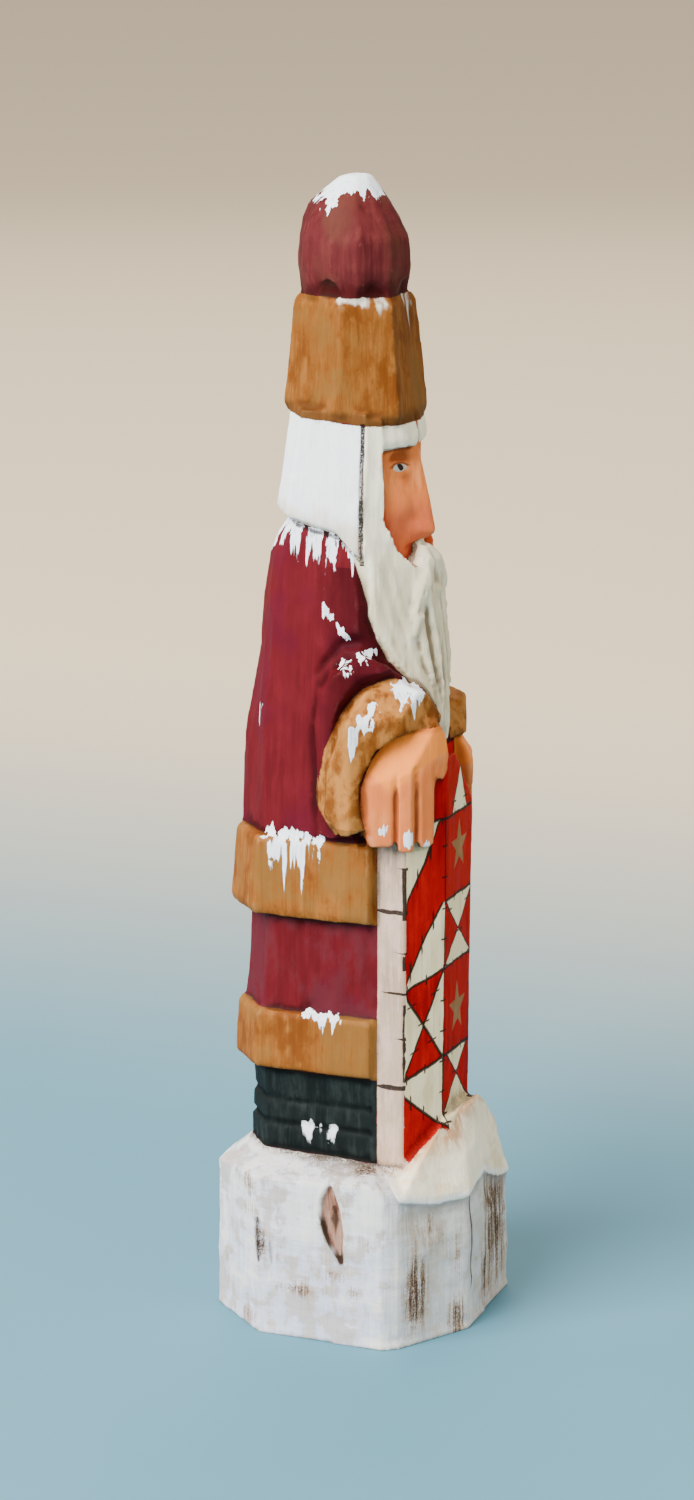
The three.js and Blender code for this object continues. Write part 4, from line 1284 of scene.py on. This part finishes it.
@dataclass
class PaintedWood:
    """The finish of the whole carving."""

    share: float
    paints: PaintBox = PaintBox()

    def build(self) -> bpy.types.Material:
        """Makes the material.

        Returns:
            The painted wood.
        """
        material = bpy.data.materials.new("painted_wood")
        material.use_nodes = True
        tree = material.node_tree
        self.tree = tree
        shader = tree.nodes["Principled BSDF"]
        source = tree.nodes.new("ShaderNodeTexCoord")
        scaled = tree.nodes.new("ShaderNodeVectorMath")
        scaled.operation = "SCALE"
        tree.links.new(source.outputs["Object"], scaled.inputs[0])
        scaled.inputs["Scale"].default_value = 1.0 / self.share
        self.place = Wire(tree, scaled.outputs[0])
        self.marks = brush_marks().place(tree, place=self.place)
        self.coat = paint_coat()
        self.stroke = stroke()
        self.shades = {name: self._read(name) for name in ("hollow", "ridge")}
        colour = self._painted()
        tree.links.new(colour.socket, shader.inputs["Base Color"])
        self._gloss(shader)
        self._bump(shader)
        shader.inputs["Specular IOR Level"].default_value = 0.03
        return material

    def _read(self, name: str) -> Wire:
        """A wire from one of the values written on the carving's points."""
        made = self.tree.nodes.new("ShaderNodeAttribute")
        made.attribute_name = name
        return Wire(self.tree, made.outputs["Fac"])

    def _waver(self, amount: float) -> Wire:
        """Unevenness about nought, for the edge of a mark."""
        return (self.marks["mottle"] - 0.5) * amount

    def _coat(self, coat: Coat) -> Wire:
        """One paint's colour, with its marks and wear."""
        marks = {name: self.marks[name] for name in ("streak", "mottle", "cloud", "speck")}
        return self.coat.place(
            self.tree, base=coat.base, deep=coat.deep, light=coat.light, worn=coat.worn,
            glaze=coat.glaze, wear=coat.wear, streaky=coat.streaky, **marks, **self.shades,
        )["colour"]

    def _painted(self) -> Wire:
        """All the paints in the painter's order."""
        tree, box, marks = self.tree, self.paints, self.marks
        z = self.place.part(2) - BASE_TOP
        waver = self._waver(0.9) + (marks["speck"] - 0.5) * 0.5
        self.masks = {
            paint.value: (
                self._read(paint.value) + waver * (0.3 if paint is Paint.QUILT else 1.0)
            ).rise(-0.14, 0.14)
            for paint in Paint
        }
        crown = self._coat(box.crown)
        # Painted shade along the foot of the crown, just above the brim.
        crown_foot_shade = (z + self._waver(6.0)).rise(233.0, 228.5)
        crown = blend(crown, (0.100, 0.036, 0.019), marks["cloud"].rise(0.48, 0.62) * 0.5, tree)
        crown = blend(crown, (0.038, 0.0040, 0.0035), crown_foot_shade * 0.65, tree)
        coat = blend(self._coat(box.red), (0.088, 0.0060, 0.0175), marks["cloud"].rise(0.48, 0.6) * 0.5, tree)
        # Painted shade on the coat's sides towards the front, under and beside the arms.
        under_arm_shade = (self.place.part(1) + self._waver(6.0)).rise(6.0, -4.0) * z.between(90.0, 160.0)
        coat = blend(coat, box.red.deep, under_arm_shade * 0.62, tree)
        dusty = z.rise(72.0, 66.0) * (marks["mottle"] * 0.5 + marks["cloud"] * 0.5).rise(0.42, 0.56)
        coat = blend(coat, (0.096, 0.0180, 0.0230), dusty * 0.6, tree)
        colour = blend(coat, crown, z.math("GREATER_THAN", 226.0), tree)
        for paint, coloured in (
            (Paint.TAN, self._tan(z)), (Paint.BOOTS, self._coat(box.boots)), (Paint.QUILT, self._quilt()),
            (Paint.SNOW, self._stump(z)), (Paint.IVORY, self._beard(z)), (Paint.FLESH, self._flesh(z)),
            (Paint.HAIR, self._hair(z)),
        ):
            colour = blend(colour, coloured, self.masks[paint.value], tree)
        colour = blend(colour, box.line, self._borders(), tree)
        self.white = self._white()
        grey = (marks["mottle"] * 0.5 + marks["bristle"] * 0.5).rise(0.50, 0.64)
        grey = grey * (z.between(150.0, 178.0) * 0.3 + 0.5)
        white = blend(box.white, (0.42, 0.44, 0.50), grey, tree)
        white = blend(white, (0.78, 0.70, 0.54), z.between(200.0, 230.0) * 0.8, tree)
        colour = blend(colour, white, self.white, tree)
        # Painted shade in the grooves by the hair and between the fingers, and under the hair's edge.
        return blend(colour, box.line, self._shade_lines(z), tree)

    def _shade_lines(self, z: Wire) -> Wire:
        """Painted shade as dark lines: under the hair's edge, mixed with dirt there, in the groove in front
        of the hair, and between the fingers.
        """
        marks = self.marks
        y = self.place.part(1)
        broken = (marks["speck"] * 0.5 + marks["mottle"] * 0.5).rise(0.40, 0.52)
        gap = abs(y + 6.75 - (z - 161.0) * 0.0139 + self._waver(0.7)).rise(0.85, 0.4)
        gap = gap * z.between(160.5, 196.4) * abs(self.place.part(0)).rise(12.0, 14.0)
        hem = abs(self._read("hair") + 0.75 + self._waver(1.6)).rise(0.8, 0.25)
        hem = hem * z.between(158.0, 176.0) * y.rise(-7.6, -6.0)
        fingers = (abs(self._read("fingers")) + self._waver(0.8)).rise(0.75, 0.15)
        return (gap * (broken * 0.35 + 0.63)).most(hem * (broken * 0.6 + 0.25)).most(fingers * 0.4)

    def _borders(self) -> Wire:
        """Brown that has run into the line where two paints meet."""
        line = None
        for name, width, depth in (("tan", 0.8, 0.5), ("hair", 0.7, 0.75), ("ivory", 0.7, 0.45),
                                   ("flesh", 0.7, 0.55), ("boots", 0.7, 0.5), ("snow", 0.8, 0.45)):
            here = abs(self._read(name) + 0.25).rise(width, 0.1) * depth
            line = here if line is None else line.most(here)
        patchy = (self.marks["mottle"] * 0.6 + self.marks["speck"] * 0.4).rise(0.36, 0.56)
        return line * patchy * self.shades["hollow"].rise(0.05, 0.55)

    def _tan(self, z: Wire) -> Wire:
        """The ochre trim, with faint upright grain, brown stains, painted shade inside the cuffs' arches by
        the hands and painted shade along the brim's lower edge.
        """
        tree, box, marks = self.tree, self.paints, self.marks
        colour = self._coat(box.tan)
        grain = marks["grain"].rise(0.5, 0.34)
        colour = blend(colour, box.tan.deep, grain * 0.28, tree)
        stain = (marks["mottle"] * 0.6 + marks["cloud"] * 0.4).rise(0.48, 0.38)
        colour = blend(colour, (0.15, 0.036, 0.006), stain * 0.6, tree)
        olive = (marks["cloud"] * 0.7 + marks["mottle"] * 0.3).rise(0.5, 0.6)
        colour = blend(colour, (0.20, 0.095, 0.024), olive * 0.6, tree)
        # Painted shade inside the cuffs' arches, where they overhang the hands.
        cuff_arch_shade = (self._read("flesh") + self._waver(2.0)).rise(-3.6, -0.6) * z.between(98.0, 136.0)
        colour = blend(colour, (0.100, 0.024, 0.004), cuff_arch_shade * 0.75, tree)
        brim = z.rise(190.0, 196.0)
        colour = blend(colour, (0.84, 0.84, 0.80), brim, tree, "MULTIPLY")
        cuff = z.between(95.0, 140.0)
        colour = blend(colour, (0.52, 0.21, 0.050), cuff * marks["mottle"].rise(0.40, 0.60) * 0.6, tree)
        # Painted shade along the lower edge of the brim.
        under = (z - self.place.part(1) * 0.06 + self._waver(3.0)).rise(200.6, 197.6)
        return blend(colour, (0.085, 0.034, 0.010), under * z.rise(150.0, 190.0) * 0.7, tree)

    def _hair(self, z: Wire) -> Wire:
        """The hair: cool white, with a creamy lower edge."""
        tree, box = self.tree, self.paints
        marks = self.marks
        low = (z - self.place.part(1) * 0.22 + self._waver(9.0)).rise(174.5, 168.0)
        cool = (marks["streak"] * 0.5 + marks["mottle"] * 0.5).rise(0.5, 0.62)
        colour = blend(self._coat(box.hair), (0.82, 0.84, 0.89), cool * 0.40, tree)
        colour = blend(colour, (0.66, 0.52, 0.36), low * 0.75, tree)
        return blend(colour, (0.46, 0.43, 0.40), marks["bristle"].rise(0.58, 0.74) * 0.24, tree)

    def _beard(self, z: Wire) -> Wire:
        """The beard, brows and moustache: lighter whiskers, and a greyer tip."""
        tree, box = self.tree, self.paints
        light = (z + self._waver(10.0)).rise(150.0, 172.0)
        colour = blend(self._coat(box.ivory), (0.99, 0.89, 0.66), light * 0.85, tree)
        return blend(colour, box.ivory.deep, self.marks["bristle"].rise(0.6, 0.74) * 0.3, tree)

    def _flesh(self, z: Wire) -> Wire:
        """Skin: tan with glaze and painted shade in its creases, painted light and shade on the hands, rosy
        on cheeks, nose and fingertips, and calm eyes.
        """
        tree, box = self.tree, self.paints
        colour = self._coat(box.flesh)
        x, y = abs(self.place.part(0)), self.place.part(1)
        cheeks = z.rise(179.0, 171.0) * z.math("GREATER_THAN", 150.0)
        tips = (z + self._waver(6.0)).rise(99.0, 90.0)
        # A painted highlight on the backs of the hands above the knuckles, where they face up.
        hand_top_light = self._read("knuckles").rise(-0.4, 0.8)
        colour = blend(colour, (0.98, 0.27, 0.038), hand_top_light * 0.85, tree)
        # Painted shade on the fingers below the knuckles.
        finger_shade = self._read("knuckles").rise(0.6, -3.0) * z.rise(140.0, 130.0)
        finger_shade = finger_shade * self.marks["cloud"].rise(0.4, 0.6)
        colour = blend(colour, (0.56, 0.135, 0.034), finger_shade * 0.5, tree)
        rosy = cheeks.most(tips * 0.35) * (self.marks["mottle"].rise(0.3, 0.6) * 0.4 + 0.6)
        colour = blend(colour, box.blush, rosy * 0.62, tree)
        # Painted shade along the edges of the hands, where they meet the cuffs and the quilt.
        edge = (self._read("flesh") + self._waver(2.0)).rise(2.2, 0.2) * z.rise(140.0, 130.0)
        colour = blend(colour, (0.30, 0.062, 0.014), edge * 0.55, tree)
        face = z.math("GREATER_THAN", 150.0)
        across, over = (x - 6.0) * (1.0 / 2.3), (z - 184.0) * (1.0 / 0.95)
        almond = (across * across + over * over).math("SQRT")
        eye = almond.rise(1.08, 0.92) * face
        lid = almond.rise(1.7, 1.15) * (z - 183.9).rise(0.0, 0.4) * face
        colour = blend(colour, (0.060, 0.018, 0.010), lid * 0.75, tree)
        colour = blend(colour, (0.50, 0.45, 0.38), eye, tree)
        iris = ((x - 5.9) * (x - 5.9) + (z - 184.2) * (z - 184.2)).math("SQRT")
        return blend(colour, (0.030, 0.018, 0.013), iris.rise(1.05, 0.85) * eye, tree)

    def _quilt(self) -> Wire:
        """The quilt's cloths and seams, all in paint."""
        tree, box = self.tree, self.paints
        made = tree.nodes.new("ShaderNodeAttribute")
        made.attribute_name = "patches"
        place = Wire(tree, made.outputs["Vector"])
        wobble = self._waver(0.8)
        masks = patchwork().place(tree, across=abs(place.part(0)), up=place.part(1), wobble=wobble)
        colour = blend(self._coat(box.patch_red), self._coat(box.cream), masks["cream"], tree)
        colour = blend(colour, self._coat(box.star), masks["star"], tree)
        colour = blend(colour, self._coat(box.edge), masks["edge"], tree)
        stain = (self.marks["mottle"] * 0.6 + self.marks["streak"] * 0.4)
        colour = blend(colour, (0.62, 0.34, 0.26), masks["edge"] * stain.rise(0.50, 0.60) * 0.5, tree)
        colour = blend(colour, (0.40, 0.33, 0.30), masks["edge"] * stain.rise(0.46, 0.38) * 0.5, tree)
        worn = masks["edge"] * self.marks["bristle"].rise(0.56, 0.72)
        colour = blend(colour, (0.25, 0.20, 0.18), worn * 0.4, tree)
        dry = self.marks["speck"].rise(0.26, 0.4)
        return blend(colour, box.line, masks["seam"] * (dry * 0.3 + 0.65), tree)

    def _stump(self, z: Wire) -> Wire:
        """Whitewash over sawn wood: rubbed through in streaks, creamy on the drift, with a painted highlight
        along the drift's lip and painted shadow under it, and with its knot.
        """
        tree, box, marks = self.tree, self.paints, self.marks
        colour = self._coat(box.snow)
        x, y = self.place.part(0), self.place.part(1)
        scrub = marks["mottle"] * 0.42 + marks["cloud"] * 0.36 + marks["smear"] * 0.22
        bluish = marks["cloud"].rise(0.52, 0.62) * z.rise(-8.0, -22.0)
        colour = blend(colour, (0.56, 0.62, 0.80), bluish * 0.45, tree)
        colour = blend(colour, (0.45, 0.37, 0.30), scrub.rise(0.485, 0.55) * 0.7, tree)
        creamy = scrub.rise(0.48, 0.40).most(z.rise(-22.0, -8.0) * scrub.rise(0.54, 0.46) * 0.7)
        colour = blend(colour, (0.86, 0.80, 0.66), creamy * 0.65, tree)
        front = (y + self._waver(8.0)).rise(-17.0, -25.0) * z.rise(-2.0, -8.0)
        colour = blend(colour, (0.58, 0.52, 0.43), front * (scrub.rise(0.40, 0.55) * 0.45 + 0.25), tree)
        worn = self._read("rubbed")
        rubbed = worn + (scrub - 0.5) * 2.2 + (marks["grain"] - 0.5) * worn * 3.4
        rubbed = rubbed + (marks["speck"] - 0.5) * worn * 1.6
        colour = blend(colour, (0.36, 0.25, 0.165), rubbed.rise(0.40, 0.75) * 0.62, tree)
        colour = blend(colour, box.wood, rubbed.rise(0.70, 1.05) * 0.75, tree)
        colour = blend(colour, box.dark_wood, rubbed.rise(1.05, 1.45) * 0.8, tree)
        flecks = worn.rise(0.6, 0.9) * marks["speck"].rise(0.57, 0.66) * y.rise(-20.0, -16.0)
        colour = blend(colour, box.dark_wood, flecks * 0.85, tree)
        lip = self._read("lip") + self._waver(2.4)
        shade = lip.rise(0.3, -0.3) * lip.rise(-4.5, -0.6) * y.rise(-10.0, -20.0)
        colour = blend(colour, (0.27, 0.24, 0.23), shade * 0.5, tree)
        drift = lip.rise(-0.3, 0.3) * z.rise(-12.0, -9.0) * y.rise(-14.0, -22.0)
        cream = blend(box.cream_snow, (0.80, 0.55, 0.29), scrub.rise(0.50, 0.59) * 0.5, tree)
        # A painted highlight along the rounded lip of the drift.
        lip_highlight = lip.rise(2.6, 0.8) * marks["smear"].rise(0.40, 0.56)
        cream = blend(cream, (0.95, 0.92, 0.86), lip_highlight, tree)
        contact = (self._read("snow") + self._waver(3.0)).rise(3.4, 0.3) * z.rise(1.0, 4.0)
        contact = contact * (marks["streak"].rise(0.4, 0.55) * 0.5 + 0.4)
        cream = blend(cream, (0.52, 0.21, 0.060), contact, tree)
        crest = (self.shades["ridge"] + self._waver(0.8)).rise(0.1, 0.5) * z.rise(0.0, 6.0)
        cream = blend(cream, (0.66, 0.36, 0.14), crest * 0.6, tree)
        colour = blend(colour, cream, drift * 0.92, tree)
        foot = self._read("snow").rise(1.5, 0.2) * (marks["speck"] * 0.5 + scrub * 0.5).rise(0.44, 0.54)
        colour = blend(colour, (0.10, 0.075, 0.060), foot * (1.0 - drift) * 0.75, tree)
        knot = self._read("knot") + self._waver(1.2)
        tint = blend((0.17, 0.060, 0.036), (0.36, 0.20, 0.14), marks["streak"].rise(0.4, 0.6), tree)
        tint = blend(tint, box.dark_wood, (abs(y + 5.2) + abs(z + 9.0) * 0.35).rise(1.7, 0.7) * 0.8, tree)
        colour = blend(colour, tint, knot.rise(-0.1, 0.5), tree)
        low_side = (y - z * 0.16).rise(-3.0, -1.2) * z.rise(-6.0, -10.0)
        rim = abs(knot - 0.1).rise(0.95, 0.2) * low_side.most(z.rise(-16.0, -19.0))
        colour = blend(colour, box.dark_wood, rim, tree)
        self.cracks = self._cracks(x, y)
        broken = (marks["speck"] * 0.5 + marks["mottle"] * 0.5).rise(0.40, 0.50) * 0.4 + 0.6
        return blend(colour, box.dark_wood, (self.cracks * broken).math("MINIMUM", 1.0), tree)

    def _cracks(self, x: Wire, y: Wire) -> Wire:
        """Drying cracks that run up the stump's sides, front and back.

        Args:
            x: the place sideways.
            y: the place from front to back.

        Returns:
            How open the wood is.
        """
        wobble = self._waver(1.1)
        cracks = None
        for cuts, squash, towards, lean in (
            (SIDE_CRACKS, (0.12, 1.0, 1.0), x, 0.5), (FRONT_CRACKS, (1.0, 0.12, 1.0), y, 0.2),
        ):
            made = self.place.node("ShaderNodeVectorMath", self.place, squash, operation="MULTIPLY")
            flat = Wire(self.tree, made.outputs[0])
            for across, facing, low, high, width, depth in cuts:
                ends = [(facing * 4.1, across, low), (facing * 4.1, across - lean, high)]
                if towards is y:
                    ends = [(sideways, out, up) for out, sideways, up in ends]
                mask = self.stroke.place(
                    self.tree, place=flat, start=ends[0], end=ends[1], width=width + 0.35, wobble=wobble,
                )
                mask = mask["mask"] * (towards * facing).rise(31.0, 32.5) * depth
                cracks = mask if cracks is None else cracks.most(mask)
        return cracks

    def _white(self) -> Wire:
        """The stray white, broken up by the brush's bristles."""
        marks = self.marks
        amount = self._read("dab")
        up = self.place.part(2) - BASE_TOP
        soft = up.between(200.0, 230.0).most(up.between(2.0, 24.0) * 0.6)
        columns = marks["drip"] * 0.72 + marks["bristle"] * 0.28 - 0.5
        thick = (amount - 0.5 - columns * (3.2 - soft * 1.2)) * amount.rise(0.02, 0.12)
        return thick.rise(0.0, soft * 0.7 + 0.12) * (1.0 - soft * 0.25)

    def _gloss(self, shader: bpy.types.Node) -> None:
        """Satin paint, duller on the snow, the hair and the boots."""
        rough = self.marks["mottle"] * 0.22 + self.marks["speck"] * 0.1 + 0.36
        rough = rough + self.masks["snow"] * 0.16 + self.masks["hair"] * 0.12
        rough = rough + self.masks["boots"] * 0.08 + self.white * 0.08
        self.tree.links.new(rough.socket, shader.inputs["Roughness"])

    def _bump(self, shader: bpy.types.Node) -> None:
        """Brush strokes, raised grain, thick white and open cracks."""
        marks = self.marks
        rough_wood = self.masks["snow"] * (self._read("rubbed") * 0.5 + 0.02)
        height = marks["bristle"] * 0.05 + marks["grain"] * (rough_wood + 0.08)
        height = height + marks["speck"] * 0.045 + marks["mottle"] * 0.08
        height = height + marks["smear"] * self.masks["snow"] * 0.25
        height = height + self.white * 0.16 - self.cracks * self.masks["snow"] * 0.6
        bump = self.tree.nodes.new("ShaderNodeBump")
        bump.inputs["Strength"].default_value = 0.8
        bump.inputs["Distance"].default_value = self.share
        self.tree.links.new(height.socket, bump.inputs["Height"])
        self.tree.links.new(bump.outputs[0], shader.inputs["Normal"])


@dataclass
class Studio:
    """A pale floor, soft light, and the camera."""

    share: float
    eye: Point = (-985.76, -377.79, 420.0)
    forward: Point = (0.90354, 0.35015, -0.24700)
    focal: float = 4204.0
    image_height: float = 1500.0

    def build(self) -> None:
        """Sets the stage, the lights and the camera."""
        self._floor()
        self._lights()
        self._camera()

    def _floor(self) -> None:
        """A flat pale floor, bluish near the figure and beige further back."""
        bpy.ops.object.select_all(action="DESELECT")
        bpy.ops.mesh.primitive_plane_add(size=24.0, location=(0.0, 0.0, 0.0))
        floor = bpy.context.view_layer.objects.active
        floor.name = "floor"
        material = bpy.data.materials.new("pale_floor")
        material.use_nodes = True
        tree = material.node_tree
        shader = tree.nodes["Principled BSDF"]
        source = tree.nodes.new("ShaderNodeTexCoord")
        noise = tree.nodes.new("ShaderNodeTexNoise")
        noise.inputs["Scale"].default_value = 14.0
        noise.inputs["Detail"].default_value = 4.0
        tree.links.new(source.outputs["Object"], noise.inputs["Vector"])
        tint = blend((0.080, 0.234, 0.305), (0.096, 0.256, 0.332), Wire(tree, noise.outputs[0]), tree)
        away = Wire(tree, source.outputs["Object"]).part(0).rise(0.1, 0.7)
        tint = blend(tint, (0.79, 0.62, 0.40), away, tree)
        tree.links.new(tint.socket, shader.inputs["Base Color"])
        shader.inputs["Roughness"].default_value = 0.7
        floor.data.materials.append(material)
        floor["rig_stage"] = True

    def _lamp(self, name: str, place: Point, size: float, power: float, colour: Colour) -> None:
        """A soft square lamp that points at the middle of the figure."""
        lamp = bpy.data.lights.new(name, "AREA")
        lamp.shape = "SQUARE"
        lamp.size = size
        lamp.energy = power
        lamp.color = colour
        stand = bpy.data.objects.new(name, lamp)
        bpy.context.scene.collection.objects.link(stand)
        stand.location = place
        aim = Vector((0.0, 0.0, 150.0 * self.share)) - Vector(place)
        stand.rotation_euler = aim.to_track_quat("-Z", "Y").to_euler()

    def _lights(self) -> None:
        """A broad window light from his right and behind, and a warm fill from the front."""
        self._lamp("window", (-1.5, 0.75, 1.5), 1.5, 155.0, (0.97, 0.98, 1.0))
        self._lamp("fill", (-0.6, -1.9, 0.9), 1.6, 15.7, (1.0, 0.92, 0.82))
        self._lamp("back", (1.6, 0.6, 1.3), 1.6, 15.7, (1.0, 0.98, 0.95))
        world = bpy.data.worlds.new("room")
        world.use_nodes = True
        background = world.node_tree.nodes["Background"]
        background.inputs[0].default_value = (0.86, 0.84, 0.80, 1.0)
        background.inputs[1].default_value = 0.9
        bpy.context.scene.world = world

    def _camera(self) -> None:
        """The camera, level and at the photographed angle."""
        camera = bpy.data.cameras.new("camera")
        stand = bpy.data.objects.new("camera", camera)
        bpy.context.scene.collection.objects.link(stand)
        ahead = Vector(self.forward).normalized()
        right = ahead.cross(Vector((0.0, 0.0, 1.0))).normalized()
        over = right.cross(ahead)
        turned = Matrix((right, over, -ahead)).transposed().to_4x4()
        stand.matrix_world = Matrix.Translation(Vector(self.eye) * self.share) @ turned
        camera.sensor_width = 36.0
        camera.lens = self.focal * camera.sensor_width / self.image_height
        camera.clip_start = 0.05
        bpy.context.scene.camera = stand


def main() -> None:
    """Builds the carving, its finish and the studio, and reports the carving and the studio."""
    logging.basicConfig(level=logging.INFO, format="%(name)s: %(message)s")
    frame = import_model()
    solid_box = [list(corner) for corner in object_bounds()]
    share = solid_box[1][2] / 300.0
    carving = Carving(share).build(frame["nodes"][NODE])
    LOG.info("carving: %d triangles", len(carving.data.polygons))
    carving.data.materials.append(PaintedWood(share).build())
    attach(carving, "root")
    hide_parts(NODE)
    Studio(share).build()
    LOG.info("studio: floor, three lamps and a camera")


if __name__ == "__main__":
    main()
